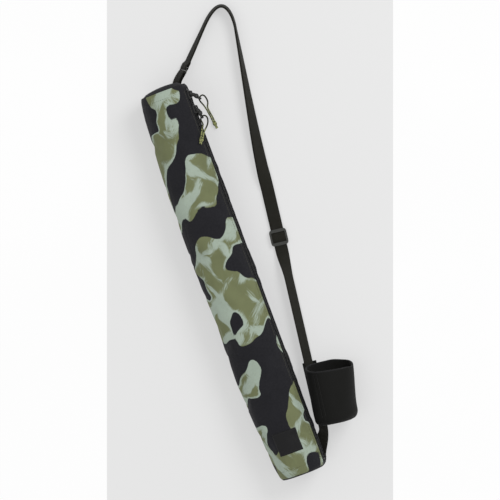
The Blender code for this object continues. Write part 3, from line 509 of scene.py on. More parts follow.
def grid_mesh(rows, marks, turn=None, caps=0):
    """A surface through rows of points. Where turn is given, each row closes on itself after
    that distance on the flat cloth. caps is 1 to close the first row, 2 for the last one too."""
    wide = len(rows[0])
    points = [p for row in rows for p in row]
    flat = [m for row in marks for m in row]
    faces = ring_faces(len(rows), wide, turn is not None)
    corners = []
    for face in faces:
        extra = turn if face[1] % wide == 0 else 0.0
        for corner, shift in zip(face, (0.0, extra, extra, 0.0)):
            corners.append((flat[corner][0] + shift, flat[corner][1]))
    for face in end_faces(len(points), wide)[:caps]:
        faces.append(face)
        corners += [flat[corner] for corner in face]
    return cloth_mesh(points, faces, corners)


def thickened(piece, wall, offset=-1.0, even=True):
    skin = piece.modifiers.new("wall", "SOLIDIFY")
    skin.thickness = wall
    skin.offset = offset
    skin.use_even_offset = even


def lengths_along(points):
    found = [0.0]
    for before, after in zip(points, points[1:]):
        found.append(found[-1] + (after - before).length)
    return found


def turns_of(count):
    return [2 * math.pi * i / count for i in range(count)]


def tube_rows(points, radius, sides):
    """Rings round a line, without twist."""
    last = len(points) - 1
    ways = [(points[min(i + 1, last)] - points[max(i - 1, 0)]).normalized()
            for i in range(last + 1)]
    side = ways[0].orthogonal().normalized()
    rows = []
    for point, way in zip(points, ways):
        side = (side - way * side.dot(way)).normalized()
        other = way.cross(side)
        rows.append([point + (side * math.cos(t) + other * math.sin(t)) * radius
                     for t in turns_of(sides)])
    return rows


def tube_mesh(points, radius, sides=10, from_middle=False):
    """A tube along a line. Its flat place is the share of a turn, and the distance along it."""
    reach = lengths_along(points)
    if from_middle:
        reach = [abs(far - reach[-1] / 2) for far in reach]
    marks = [[(j / sides, far) for j in range(sides)] for far in reach]
    return grid_mesh(tube_rows(points, radius, sides), marks, turn=1.0, caps=2)


def strand(path, radius, sides, wide, step, caps=0):
    """A thin tube as points, faces and marks. Its flat place has that width all round, and goes on
    by a step from ring to ring."""
    rows = tube_rows(path, radius, sides)
    points = [p for row in rows for p in row]
    faces = ring_faces(len(rows), sides)
    marks = [(u * wide / sides, v * step) for i in range(len(rows) - 1) for j in range(sides)
             for u, v in ((j, i), (j + 1, i), (j + 1, i + 1), (j, i + 1))]
    for face in end_faces(len(points), sides)[:caps]:
        faces.append(face)
        marks += [(wide / 2, 0.0)] * sides
    return points, faces, marks


def joined_mesh(parts):
    """Several sets of points, faces and marks as one mesh."""
    points, faces, marks = [], [], []
    for some_points, some_faces, some_marks in parts:
        start = len(points)
        points += some_points
        faces += [tuple(start + i for i in face) for face in some_faces]
        marks += some_marks
    return cloth_mesh(points, faces, marks)


def along_route(route, reach, distance):
    """The place and the way out of the cloth at a distance along a route."""
    i = int(np.searchsorted(reach, distance, side="right")) - 1
    i = min(max(i, 0), len(route) - 2)
    share = (distance - reach[i]) / max(reach[i + 1] - reach[i], 1e-9)
    return [before.lerp(after, share) for before, after in zip(route[i], route[i + 1])]


def stitch_rows(name, routes, slot, body="bag", look="stitch", length=2.7 * MM, gap=0.7 * MM):
    """Rows of stitches. Each route is a list of (place, way out of the cloth)."""
    found = []
    for route in routes:
        reach = lengths_along([place for place, _ in route])
        count = max(1, int((reach[-1] + gap) / (length + gap)))
        pitch = reach[-1] / count
        for i in range(count):
            start, out = along_route(route, reach, pitch * i + gap / 2)
            end, _ = along_route(route, reach, pitch * (i + 1) - gap / 2)
            lift = out.normalized() * (THREAD_RADIUS * 0.9)
            path = [start + (end - start) * share + lift * rise for share, rise in STITCH_PROFILE]
            found.append(strand(path, THREAD_RADIUS, 6, MM, MM / 2))
    add_piece(name, joined_mesh(found), slot, body=body, look=look)


def edge_binding(stops, along, radius, sides):
    """The binding of a round edge, through stops of (angle, middle, half width outwards)."""
    rings, flat = [], []
    for angle, middle, out in stops:
        rings.append([middle + out * math.cos(t) + along * math.sin(t) for t in turns_of(sides)])
        flat.append([(j * MM, math.radians(angle) * radius) for j in range(sides)])
    return grid_mesh(rings, flat, turn=sides * MM)


# Tube: the fabric pulls in on its left side towards both ends

# Where the narrowing towards an end starts, and how strong it is
TOP_PULL, BOTTOM_PULL = (0.12, 0.25), (0.15, 0.23)
PULL_POWER = 1.55
SINK_FROM, SINK_TO, SINK_SHARE = 36 * MM, -15 * MM, 0.45
MOST_MOVE = 2.4 * MM
LEAST_Z, STITCH_LEAST_Z = 0.05 * MM, 0.7 * MM
LAYER_PULL = 1.6 * MM
# The fabric's hem at the zip stands out, and its edges are sewn down and rounded off
HEM_STEP, HEM_FROM, HEM_TO = 0.35 * MM, 5.2 * MM, 6.4 * MM
ZIP_DENT, ZIP_DENT_WIDTH = 0.45 * MM, 0.5 * MM
END_DENT, END_DENT_WIDTH = 0.4 * MM, 0.9 * MM
EDGE_ROUND, ZIP_ROUND_WIDTH, END_ROUND_WIDTH = 0.5 * MM, 0.9 * MM, 2 * MM
TOP_ROLL, BOTTOM_ROLL, BOTTOM_ROLL_RIGHT = 3.0 * MM, 4.5 * MM, 3.0 * MM
END_EASE, END_PUCKER = 0.5 * MM, 0.35 * MM
BROAD_FOLD, RIDGE, PUCKER = 0.7 * MM, 0.5 * MM, 0.55 * MM
END_DEPTH = 8.0 * MM
END_TURNS = (1.0, 0.8, 0.6, 0.4, 0.2)
END_CLOTH = 1.3 * END_DEPTH
TOPSTITCH_INSET = 5.0 * MM
HEM_INSET = 4.5 * MM
PANEL_ROWS = 170
DRAPE_ROWS = 124
CLOTH_FRAMES = 20
CLOTH_SETTINGS = {
    "quality": 8, "mass": 0.25, "tension_stiffness": 30, "compression_stiffness": 30,
    "shear_stiffness": 12, "bending_stiffness": 3, "use_pressure": True,
    "uniform_pressure_force": 4, "shrink_min": -0.011, "vertex_group_mass": "sewn"}


def on_tube(radius, angle, y):
    turn = math.radians(angle)
    return Vector((radius * math.cos(turn), y, TUBE_Z + radius * math.sin(turn)))


def width_angle(width, radius=TUBE_RADIUS):
    return math.degrees(width / radius)


def end_pull(y):
    start, strength = TOP_PULL if y > 0 else BOTTOM_PULL
    share = max(0.0, (abs(y) - start) / (TUBE_LENGTH / 2 - start))
    return strength * share ** PULL_POWER


def settled(place):
    """A place on the ideal tube, moved to where the soft tube has it."""
    pull = end_pull(place.y)
    rise = place.z - TUBE_Z
    away = smooth(SINK_FROM, SINK_TO, place.x) if place.x < SINK_FROM else 0.0
    x = place.x * (1 - pull) if place.x < 0 else place.x
    z = place.z - max(rise, 0.0) * SINK_SHARE * pull * away
    return Vector((x, place.y, z))


def from_zip(angle):
    return abs((angle - ZIP_ANGLE + 180) % 360 - 180)


def out_of(angle):
    turn = math.radians(angle)
    return Vector((math.cos(turn), 0, math.sin(turn)))


def dent(distance, depth, width):
    return depth * math.exp(-(distance / width) ** 2)


def crease(angle, y, strength=1.0):
    """How far the fabric stands in or out: shallow folds, none at the zip or the floor."""
    calm = smooth(0, 14, from_zip(angle) - 9)
    calm *= smooth(0, 30, abs(angle - 270) - 12)
    broad = noise.noise(Vector((angle / 42, y / 0.085, 1.7)))
    sharp = noise.noise(Vector((angle / 26 + y / 0.11, y / 0.06, 6.2)))
    near_end = smooth(0.235, 0.305, abs(y))
    pucker = noise.noise(Vector((angle / 7, y / 0.06, 3.3))) * near_end
    ridge = (1 - abs(sharp) * 2.2) ** 3 if abs(sharp) < 0.45 else 0.0
    return strength * calm * (BROAD_FOLD * broad - RIDGE * ridge + PUCKER * pucker)


class Drape:
    """How far a simulated cloth moved, by angle round the tube and place along it."""

    def __init__(self, angles, lengths, moves):
        self.angles, self.lengths, self.moves = angles, lengths, moves

    def at(self, angle, y):
        i = float(np.interp(y, self.lengths, np.arange(len(self.lengths))))
        j = float(np.interp(angle, self.angles, np.arange(len(self.angles))))
        row, column = min(int(i), len(self.lengths) - 2), min(int(j), len(self.angles) - 2)
        a, b = i - row, j - column
        near = self.moves[row, column] * (1 - b) + self.moves[row, column + 1] * b
        far = self.moves[row + 1, column] * (1 - b) + self.moves[row + 1, column + 1] * b
        return Vector(near * (1 - a) + far * a)


def draped(start, end, columns, rows=DRAPE_ROWS):
    """Simulates a panel as cloth that is sewn along its edges, a little too large for its place, and
    pushed out by what it covers. A point moves by at most MOST_MOVE."""
    angles = np.linspace(start, end, columns)
    lengths = np.linspace(-SEAM_Y, SEAM_Y, rows)
    points = np.array([settled(on_tube(TUBE_RADIUS + crease(a, y, 0.5), a, y))
                       for y in lengths for a in angles])
    faces = [(a, d, c, b) for a, b, c, d in ring_faces(rows, columns, closed=False)]
    data = bpy.data.meshes.new("loose_panel")
    data.from_pydata(points.tolist(), [], faces)
    work = add_object("loose_panel", data)
    sewn = work.vertex_groups.new(name="sewn")
    edges = [i * columns + j for i in range(rows) for j in range(columns)
             if i in (0, 1, rows - 2, rows - 1) or j in (0, columns - 1)]
    sewn.add(edges, 1.0, "REPLACE")
    cloth = work.modifiers.new("cloth", "CLOTH")
    cloth.collision_settings.use_collision = False
    cloth.collision_settings.use_self_collision = False
    cloth.point_cache.frame_start = 1
    cloth.point_cache.frame_end = CLOTH_FRAMES
    for name, value in CLOTH_SETTINGS.items():
        setattr(cloth.settings, name, value)
    cloth.settings.effector_weights.gravity = 0
    for number in range(1, CLOTH_FRAMES + 1):
        bpy.context.scene.frame_set(number)
    evaluated = work.evaluated_get(bpy.context.evaluated_depsgraph_get())
    settled_points = np.array([v.co for v in evaluated.data.vertices])
    bpy.context.scene.frame_set(1)
    bpy.data.objects.remove(work)
    moves = settled_points - points
    reach = np.linalg.norm(moves, axis=1, keepdims=True)
    moves *= MOST_MOVE * np.tanh(reach / MOST_MOVE) / np.maximum(reach, 1e-9)
    return Drape(angles, lengths, moves.reshape(rows, columns, 3))


ZIP_SLOT = width_angle(ZIP_SLOT_HALF)
FRONT_START, FRONT_END = ZIP_ANGLE + ZIP_SLOT, BACK_SEAM_ANGLE
BACK_START, BACK_END = BACK_SEAM_ANGLE + width_angle(FIT_GAP), 360 + ZIP_ANGLE - ZIP_SLOT


def end_roll(side, angle):
    """How far the fabric turns in over the edge of an end."""
    if side > 0:
        return TOP_ROLL
    return BOTTOM_ROLL + BOTTOM_ROLL_RIGHT * smooth(0.1, 0.9, out_of(angle).x)


def end_place(side, angle, turn, inset=0.0):
    """A place on the rounded edge of an end: turn runs from 0 on the side to 1 at the end panel."""
    bend = turn * math.pi / 2
    size = TUBE_RADIUS - inset - END_EASE - end_roll(side, angle) * (1 - math.cos(bend))
    size += END_PUCKER * noise.noise(Vector((angle / 6, side * 4.0, 3.3))) * (1 - turn)
    return settled(on_tube(size, angle, side * (SEAM_Y + END_DEPTH * math.sin(bend))))


def cover_place(drape, angle, y):
    """A place on the outer fabric, with the hems and sewn lines of its edges."""
    edge = math.radians(from_zip(angle)) * TUBE_RADIUS - ZIP_SLOT_HALF
    hem = SEAM_Y - abs(y)
    size = TUBE_RADIUS + crease(angle, y) * smooth(0, 12 * MM, hem)
    size += HEM_STEP * (1 - smooth(HEM_FROM, HEM_TO, edge))
    size -= dent(edge - TOPSTITCH_INSET, ZIP_DENT, ZIP_DENT_WIDTH)
    size -= EDGE_ROUND * (1 - smooth(0, ZIP_ROUND_WIDTH, edge))
    size -= dent(hem - HEM_INSET, END_DENT, END_DENT_WIDTH)
    size -= EDGE_ROUND * (1 - smooth(0, END_ROUND_WIDTH, hem))
    place = settled(on_tube(size, angle, y)) + drape.at(angle, y) * smooth(2 * MM, 9 * MM, edge)
    place.z = max(place.z, LEAST_Z)
    return place


def flat_rows(angles, lengths, radius):
    """Places on the flat cloth of a sheet round the tube."""
    return [[(math.radians(a) * radius, y) for a in angles] for y in lengths]


def panel_mesh(drape, columns):
    """A panel of the outer fabric, which turns in over both ends."""
    start, end = drape.angles[0], drape.angles[-1]
    edge = width_angle(1 * MM)
    angles = [end, end - edge, *np.linspace(end, start, columns)[1:-1], start + edge, start]
    lines = np.linspace(-SEAM_Y, SEAM_Y, PANEL_ROWS)
    found = [[end_place(-1, a, t) for a in angles] for t in END_TURNS]
    found += [[cover_place(drape, a, y) for a in angles] for y in lines]
    found += [[end_place(1, a, t) for a in angles] for t in END_TURNS[::-1]]
    for line in found:
        for place in line:
            place.z = max(place.z, LEAST_Z)
    rolled = [SEAM_Y + t * END_CLOTH for t in END_TURNS]
    lengths = [*(-y for y in rolled), *lines, *rolled[::-1]]
    return grid_mesh(found, flat_rows(angles, lengths, TUBE_RADIUS))


FRONT_DRAPE = draped(FRONT_START, FRONT_END, 30)
BACK_DRAPE = draped(BACK_START, BACK_END, 25)


def build_tube():
    for name, drape, columns, slot, node in (
            ("front_cover", FRONT_DRAPE, 110, "printed_fabric", "front_panel"),
            ("back_cover", BACK_DRAPE, 80, "black_fabric", "back_panel")):
        piece = add_piece(name, panel_mesh(drape, columns), slot, [node])
        thickened(piece, SHELL_WALL)

    opening = width_angle(TAPE_EDGE + FIT_GAP, FOAM_OUTSIDE)
    angles = np.linspace(360 + ZIP_ANGLE - opening, ZIP_ANGLE + opening, 70)
    for slot, outside, wall, reach in (("foam", FOAM_OUTSIDE, FOAM_WALL, SEAM_Y),
                                       ("liner", LINER_OUTSIDE, LINER_WALL, LINER_END)):
        lengths = np.linspace(-reach, reach, 60)
        rows = [[settled(on_tube(outside - LAYER_PULL, a, y)) for a in angles] for y in lengths]
        data = grid_mesh(rows, flat_rows(angles, lengths, outside))
        thickened(add_piece(slot + "_layer", data, slot, [slot + "_sleeve"]), wall)

    lines = np.linspace(-SEAM_Y + 3 * MM, SEAM_Y - 3 * MM, 160)
    inset = width_angle(TOPSTITCH_INSET)
    for name, drape, angle, look, slot in (
            ("zip_topstitch_front", FRONT_DRAPE, FRONT_START + inset, "tan_stitch",
             "printed_fabric"),
            ("zip_topstitch_back", BACK_DRAPE, BACK_END - inset, "stitch", "black_fabric")):
        route = [(cover_place(drape, angle, y), out_of(angle)) for y in lines]
        stitch_rows(name, [route], slot, look=look)
    rings = []
    for y in (SEAM_Y - HEM_INSET, HEM_INSET - SEAM_Y):
        for drape in (FRONT_DRAPE, BACK_DRAPE):
            ring = []
            for angle in np.linspace(drape.angles[0] + 7, drape.angles[-1], 70):
                place = cover_place(drape, angle, y)
                place.z = max(place.z, STITCH_LEAST_Z)
                ring.append((place, out_of(angle)))
            rings.append(ring)
    stitch_rows("end_topstitch", rings, "black_fabric")


CAP_INSET = 1.5 * MM
# Shares of the way from an end panel's middle to its rim, and then of the turn to the tube's side
FACE_SHARES = (0.02, 0.2, 0.4, 0.6, 0.75, 0.85, 0.92, 0.97, 1.0)
RIM_TURNS = (0.9, 0.7, 0.5, 0.3, 0.0)
# How far an end panel's crown stands out, and how far it lies off the middle
TOP_CROWN, BOTTOM_CROWN = (7.5 * MM, 9 * MM), (0.6 * MM, 0.0)
FACE_FOLD = 2 * MM
CAP_WALL = 0.8 * SHELL_WALL
SEAM_RADIUS = 0.85 * PIPING_RADIUS
SEAM_INSET = 0.5 * MM


def build_end(name, side):
    """One soft end: a crowned round panel, its foam and lining, and the bound seam round it."""
    turns = list(np.linspace(0, 360, 96, endpoint=False))
    order = -1 if side > 0 else 1
    face_y = SEAM_Y + END_DEPTH
    dome, lean = TOP_CROWN if side > 0 else BOTTOM_CROWN

    def on_face(share, angle):
        """A place on the end panel: share runs from its middle to its edge."""
        rim = end_place(side, angle, 1.0, CAP_INSET)
        centre = settled(Vector((0, rim.y, TUBE_Z)))
        place = centre.lerp(rim, share)
        off = ((place.x - lean) / END_RADIUS) ** 2 + ((place.z - TUBE_Z) / END_RADIUS) ** 2
        crown = dome * max(0.0, 1 - off) * smooth(1.0, 0.75, share)
        fold = FACE_FOLD * noise.noise(Vector((angle / 9, share * 3, side * 2.0)))
        place.y = side * (face_y + crown + fold * share ** 3 * (1 - share))
        return place

    rows = [[on_face(share, a) for a in turns] for share in FACE_SHARES]
    rows += [[end_place(side, a, turn, CAP_INSET) for a in turns] for turn in RIM_TURNS]
    rows = [row[::order] for row in rows]
    data = grid_mesh(rows, [[(p.x, p.z) for p in row] for row in rows], turn=0.0, caps=1)
    cap = add_piece(name + "_end_cover", data, "black_fabric", [name + "_cap"])
    thickened(cap, CAP_WALL, even=False)

    stops = [(a, end_place(side, a, 1.0, SEAM_INSET), out_of(a) * SEAM_RADIUS)
             for a in [*turns, 360.0]]
    data = edge_binding(stops, ALONG * SEAM_RADIUS, END_RADIUS, 10)
    add_piece(name + "_bound_seam", data, "binding", [name + "_piping"])

    disc_y = LINER_END + FIT_GAP
    foam_y = disc_y + LINER_WALL + FIT_GAP
    for slot, reach, low, high in (
            ("liner", LINER_OUTSIDE, disc_y, disc_y + LINER_WALL),
            ("foam", LINER_OUTSIDE - 1 * MM, foam_y, face_y - SHELL_WALL - FIT_GAP)):
        shares = ((0.02, high), (0.5, high), (0.93, high), (0.98, (low + high) / 2), (0.96, low),
                  (0.02, low))
        rows = [[settled(on_tube(reach * share, a, side * y)) for a in turns[::2]][::order]
                for share, y in shares]
        data = grid_mesh(rows, [[(p.x, p.z) for p in row] for row in rows], turn=0.0, caps=2)
        add_piece(f"{name}_{slot}_panel", data, slot, [f"{name}_{slot}_disc"])


LABEL_SEAM = 2.2 * MM
LABEL_DENT, LABEL_DENT_WIDTH = 0.22 * MM, 0.7 * MM
LABEL_EDGE = 0.8 * MM


def build_label():
    """A plain woven patch with turned edges, sewn down all round."""
    reach = width_angle(LABEL_WIDTH / 2)
    low = LABEL_FROM_SEAM - SEAM_Y
    across = np.linspace(1, -1, 29)
    down = np.linspace(0, 1, 29)
    rows, marks = [], []
    for v in down:
        line, flat = [], []
        for u in across:
            rim = min(1 - abs(u), min(v, 1 - v) * 2) * LABEL_WIDTH / 2
            lift = LABEL_WALL * (0.35 + 0.65 * smooth(0, LABEL_EDGE, rim))
            lift -= dent(rim - LABEL_SEAM, LABEL_DENT, LABEL_DENT_WIDTH)
            angle, y = LABEL_ANGLE + u * reach, low + v * LABEL_LENGTH
            line.append(cover_place(FRONT_DRAPE, angle, y) + out_of(angle) * (FIT_GAP + lift))
            flat.append((u * LABEL_WIDTH / 2, v * LABEL_LENGTH))
        rows.append(line)
        marks.append(flat)
    thickened(add_piece("sewn_label", grid_mesh(rows, marks), "label", ["label_patch"]), LABEL_WALL)
    reach -= width_angle(LABEL_SEAM)
    left, right = LABEL_ANGLE + reach, LABEL_ANGLE - reach
    bottom, top = low + LABEL_SEAM, low + LABEL_LENGTH - LABEL_SEAM

    def at(angle, y):
        out = out_of(angle)
        return cover_place(FRONT_DRAPE, angle, y) + out * (FIT_GAP + LABEL_WALL * 0.8), out

    routes = [[at(a, y) for a in np.linspace(left, right, 20)] for y in (bottom, top)]
    routes += [[at(a, y) for y in np.linspace(bottom, top, 20)] for a in (left, right)]
    stitch_rows("label_stitching", routes, "label", length=2.0 * MM, gap=0.6 * MM)


# Zip

ZIP_OUT = out_of(ZIP_ANGLE)
ZIP_ACROSS = Vector((-ZIP_OUT.z, 0, ZIP_OUT.x))
ZIP_CENTRE = Vector((0, 0, TUBE_Z))
TOOTH_PITCH = 2.2 * MM
TAPE_UNDER_TEETH = 0.4 * MM
# Sections of a tooth: distance from the zip's middle, half length in mm, and share of the height
TOOTH_SECTIONS = ((TEETH_OUTER, 0.62, 0.9), (2.2 * MM, 0.62, 1.0), (1.4 * MM, 0.4, 0.95),
                  (0.8 * MM, 0.55, 0.85), (0.42 * MM, 0.3, 0.55))
TOOTH_CORNERS = ((-1, -0.6), (-1, 0.6), (-0.6, 1), (0.6, 1), (1, 0.6), (1, -0.6), (0.6, -1),
                 (-0.6, -1))
# Corners of a bridge's cheek, in mm: along the zip from the tab's axis, and outwards from it
CHEEK_CORNERS = ((1.5, -1.6), (3.8, -1.6), (3.8, 1.9), (1.5, 1.9))
CHEEK_HALF_WIDTH = 0.9 * MM


def on_zip(across, y, out):
    return ZIP_CENTRE + ZIP_ACROSS * across + ALONG * y + ZIP_OUT * out


def zip_part(points, faces, flipped):
    """Points, faces and marks of a small part, with its faces turned round if flipped."""
    faces = [face[::-1] for face in faces] if flipped else faces
    return points, faces, [(points[i].x, points[i].y) for face in faces for i in face]


def tooth(side, y):
    """One moulded tooth: wide at the tape, with a rounded nose towards the middle."""
    middle = (TEETH_BASE + TEETH_TOP) / 2
    half_rise = (TEETH_TOP - TEETH_BASE) / 2
    points = [on_zip(side * across, y + along * half_long * MM, middle + up * half_rise * rise)
              for across, half_long, rise in TOOTH_SECTIONS for along, up in TOOTH_CORNERS]
    wide = len(TOOTH_CORNERS)
    faces = ring_faces(len(TOOTH_SECTIONS), wide) + end_faces(len(points), wide)
    return zip_part(points, faces, side < 0)


def build_zip():
    for name, side, shift in (("front", 1, 0.0), ("back", -1, TOOTH_PITCH / 2)):
        count = int(2 * ZIP_TOP / TOOTH_PITCH) - 1
        teeth = [tooth(side, -ZIP_TOP + TOOTH_PITCH * (i + 0.7) + shift) for i in range(count)]
        add_piece("zip_row_" + name, joined_mesh(teeth), "zip_teeth", ["zip_teeth_" + name])
        near, far = (ZIP_ANGLE + side * width_angle(edge, FOAM_OUTSIDE)
                     for edge in (TEETH_OUTER - TAPE_UNDER_TEETH, TAPE_EDGE))
        angles = np.linspace(max(near, far), min(near, far), 10)
        lines = np.linspace(-SEAM_Y, SEAM_Y, 40)
        rows = [[on_tube(FOAM_OUTSIDE, a, y) for a in angles] for y in lines]
        data = grid_mesh(rows, flat_rows(angles, lines, FOAM_OUTSIDE))
        tape = add_piece(f"zip_tape_{name}_cloth", data, "zip_tape", ["zip_tape_" + name])
        thickened(tape, TAPE_WALL)
    for node in ("zip_stop_top", "zip_stop_bottom", "zip_slider_upper", "zip_slider_lower"):
        dress(node, "painted_metal", 0.35 * MM)
    for name, slider_y, angle in (("upper", UPPER_Y, UPPER_TAB_ANGLE),
                                  ("lower", LOWER_Y, LOWER_TAB_ANGLE)):
        build_bridge(name, slider_y)
        build_pull(name, tab_matrix(slider_y, angle))


# Sections of a pull's thick middle and of its two arms beside the slider's bridge, in mm: distance
# from the hinge, half width, distance outwards and half thickness
PULL_SECTIONS = ((6.4, 4.3, 0.8, 2.4), (7.4, 4.6, 1.0, 3.2), (8.9, 4.8, 1.0, 3.7),
                 (10.7, 4.5, 0.8, 3.5), (12.3, 3.8, 0.4, 2.7), (13.3, 2.6, 0.1, 1.4))
ARM_SECTIONS = ((-1.0, 0.9, 0, 0.9), (0.5, 1.3, 0.4, 1.4), (2.5, 1.3, 0.8, 1.9),
                (4.5, 1.3, 1.0, 2.2), (7.2, 1.3, 1.0, 2.4))
ARM_SIDE = 2.9 * MM
BAR_RADIUS, EYELET_RADIUS = 1.2 * MM, 1.5 * MM
EYELET_INSET, EYELET_TURN = 1.2 * MM, 105


def pull_part(label, matrix, sections, side, body):
    turns = turns_of(20)
    rows, marks = [], []
    for x, wide, out, thick in sections:
        ring = [(side + wide * MM * math.cos(t), (thick * math.sin(t) - out) * MM) for t in turns]
        rows.append([matrix @ Vector((x * MM, y, z)) for y, z in ring])
        marks.append([(t * MM, x * MM) for t in turns])
    add_piece(label, grid_mesh(rows, marks, turn=0.0, caps=2), "tab_rubber", body=body)


def build_pull(name, matrix):
    """A moulded pull: a core, a bar in the slider's bridge, two arms, a bulge and an eyelet."""
    dress("pull_tab_" + name, "tab_rubber", 0.4 * MM)
    body = name + "_tab"
    inside = TAB_HALF_WIDTH - EYELET_INSET
    tip = TAB_LENGTH - TAB_HALF_WIDTH
    turns = np.radians(np.linspace(-EYELET_TURN, EYELET_TURN, 15))
    eyelet = [(tip + inside * math.cos(t), inside * math.sin(t)) for t in turns]
    bar = [(0, ARM_SIDE * i / 2) for i in range(-2, 3)]
    for part, line, radius in (("eyelet", eyelet, EYELET_RADIUS), ("bar", bar, BAR_RADIUS)):
        path = [matrix @ Vector((x, y, 0)) for x, y in line]
        add_piece(f"tab_{part}_{name}", tube_mesh(path, radius), "tab_rubber", body=body)
    pull_part("tab_body_" + name, matrix, PULL_SECTIONS, 0.0, body)
    pull_part("tab_arm_front_" + name, matrix, ARM_SECTIONS, ARM_SIDE, body)
    pull_part("tab_arm_back_" + name, matrix, ARM_SECTIONS, -ARM_SIDE, body)


def build_bridge(name, slider_y):
    """The cheeks of a slider's bridge, which leave a round hole for the tab's bar."""
    box = [(0, 1, 2, 3), (7, 6, 5, 4), (0, 4, 5, 1), (1, 5, 6, 2), (2, 6, 7, 3), (3, 7, 4, 0)]
    found = []
    for end in (-1, 1):
        points = [on_zip(across, slider_y + end * along * MM, TAB_HINGE + out * MM)
                  for across in (-CHEEK_HALF_WIDTH, CHEEK_HALF_WIDTH)
                  for along, out in CHEEK_CORNERS]
        found.append(zip_part(points, box, end > 0))
    data = joined_mesh(found)
    data.polygons.foreach_set("use_smooth", [False] * len(data.polygons))
    add_piece("bridge_cheeks_" + name, data, "painted_metal", body=name + "_slider")


def dress(node, look, round_edge):
    """A CAD node that keeps its shape: its look, and a small round on its edges."""
    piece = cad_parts[node]
    piece.data.materials.clear()
    piece.data.materials.append(LOOKS[look])
    weld = piece.modifiers.new("weld", "WELD")
    weld.merge_threshold = 0.00001
    bevel = piece.modifiers.new("round", "BEVEL")
    bevel.width = round_edge
    bevel.segments = 3
    bevel.limit_method = "ANGLE"
    bevel.angle_limit = math.radians(35)
    bevel.harden_normals = True


# Pull cords: their routes come near to those of the CAD model. A point of the upper cord is given
# outwards and along in mm, and by its share of the height from the floor to the hole; one of the
# lower cord by its lift, its angle from the zip, and its place along in mm

UPPER_INNER = [(17.5, -38, 0), (17, -32.5, 0), (16.2, -27.5, 0.14), (15.2, -22, 0.4),
               (13.8, -15.5, 0.7), (11.6, -9.5, 0.9)]
UPPER_OUTER = [(20.1, -38, 0), (19.6, -32.5, 0), (18.8, -27.5, 0.14), (17.8, -22, 0.4),
               (18.2, -14.5, 0.74), (20.6, -6.5, 0.95)]
LOWER_INNER = [(1.1, 20.5, -29), (1.1, 17.5, -26.5), (1.3, 12, -20), (2.1, 4, -11.5)]
LOWER_OUTER = [(1.1, 16, -31), (1.1, 13, -28.5), (2, 4.5, -21.5), (4.9, -1.5, -13)]
UPPER_FALL, LOWER_FALL = 50, 0
CORD_TAIL = 3 * MM
CORD_POINTS = 65
CORD_BEND_SHARE = 0.85
KNOT_TURNS = 1.25
KNOT_PHASES = (0.0, 2.1, 4.2)
KNOT_SIDES = 8
KNOT_STEP = 0.6 * MM


def smooth_curve(points, count):
    """Points evenly along a natural cubic spline."""
    places, far = np.array(points), np.array(lengths_along(points))
    gaps = np.diff(far)
    slopes = np.diff(places, axis=0) / gaps[:, None]
    system, target = np.eye(len(points)), np.zeros((len(points), 3))
    for i in range(1, len(points) - 1):
        system[i, i - 1:i + 2] = gaps[i - 1], 2 * (gaps[i - 1] + gaps[i]), gaps[i]
        target[i] = 6 * (slopes[i] - slopes[i - 1])
    bends = np.linalg.solve(system, target)
    found = []
    for reach in np.linspace(0, far[-1], count):
        i = int(np.clip(np.searchsorted(far, reach, side="right") - 1, 0, len(points) - 2))
        before, after = far[i + 1] - reach, reach - far[i]
        place = (bends[i] * before ** 3 + bends[i + 1] * after ** 3) / (6 * gaps[i])
        place += (places[i] / gaps[i] - bends[i] * gaps[i] / 6) * before
        place += (places[i + 1] / gaps[i] - bends[i + 1] * gaps[i] / 6) * after
        found.append(Vector(place))
    return found


def tab_matrix(slider_y, angle):
    turn = math.radians(angle)
    way = ZIP_OUT * math.sin(turn) - ALONG * math.cos(turn)
    place = ZIP_CENTRE + ZIP_OUT * TAB_HINGE + ALONG * slider_y
    turned = Matrix((way, ZIP_ACROSS, way.cross(ZIP_ACROSS))).transposed().to_4x4()
    return Matrix.Translation(place) @ turned


def cord_turn(matrix, fall):
    """The cord's bend through the tab's hole, from the side near the tube to the outer side."""
    fall = math.radians(fall)
    onward = Vector((math.cos(fall), -math.sin(fall), 0)) * CORD_TURN
    found = []
    for turn in (120, 150, 180, 210, 240):
        turn = math.radians(turn)
        hole = Vector((TAB_HOLE_X, 0, CORD_TURN * math.sin(turn) - CORD_OUT))
        found.append(matrix @ (hole + onward * (1 + math.cos(turn))))
    return found


def add_cord(name, inner, outer, bend):
    """A loop of cord, and the knot that ends it."""
    tails = [end[0] + (end[0] - end[1]).normalized() * CORD_TAIL for end in (inner, outer)]
    route = smooth_curve([tails[0], *inner, *bend, *reversed(outer), tails[1]], CORD_POINTS)
    middle = (inner[0] + outer[0]) / 2
    way = (inner[0] - inner[1] + outer[0] - outer[1]).normalized()
    furthest = max((end - middle).dot(way) for end in (inner[0], outer[0]))
    start = middle + way * (furthest + FIT_GAP)
    bend_end = start.lerp(bend[len(bend) // 2], CORD_BEND_SHARE)
    span = (name + "_slider", name + "_tab", tuple(start), tuple(bend_end))
    knot = add_knot(name, start, way, span)
    data = tube_mesh(route, CORD_RADIUS, 12, from_middle=True)
    cord = add_piece("cord_loop_" + name, data, "cord", ["pull_cord_" + name], span=span)


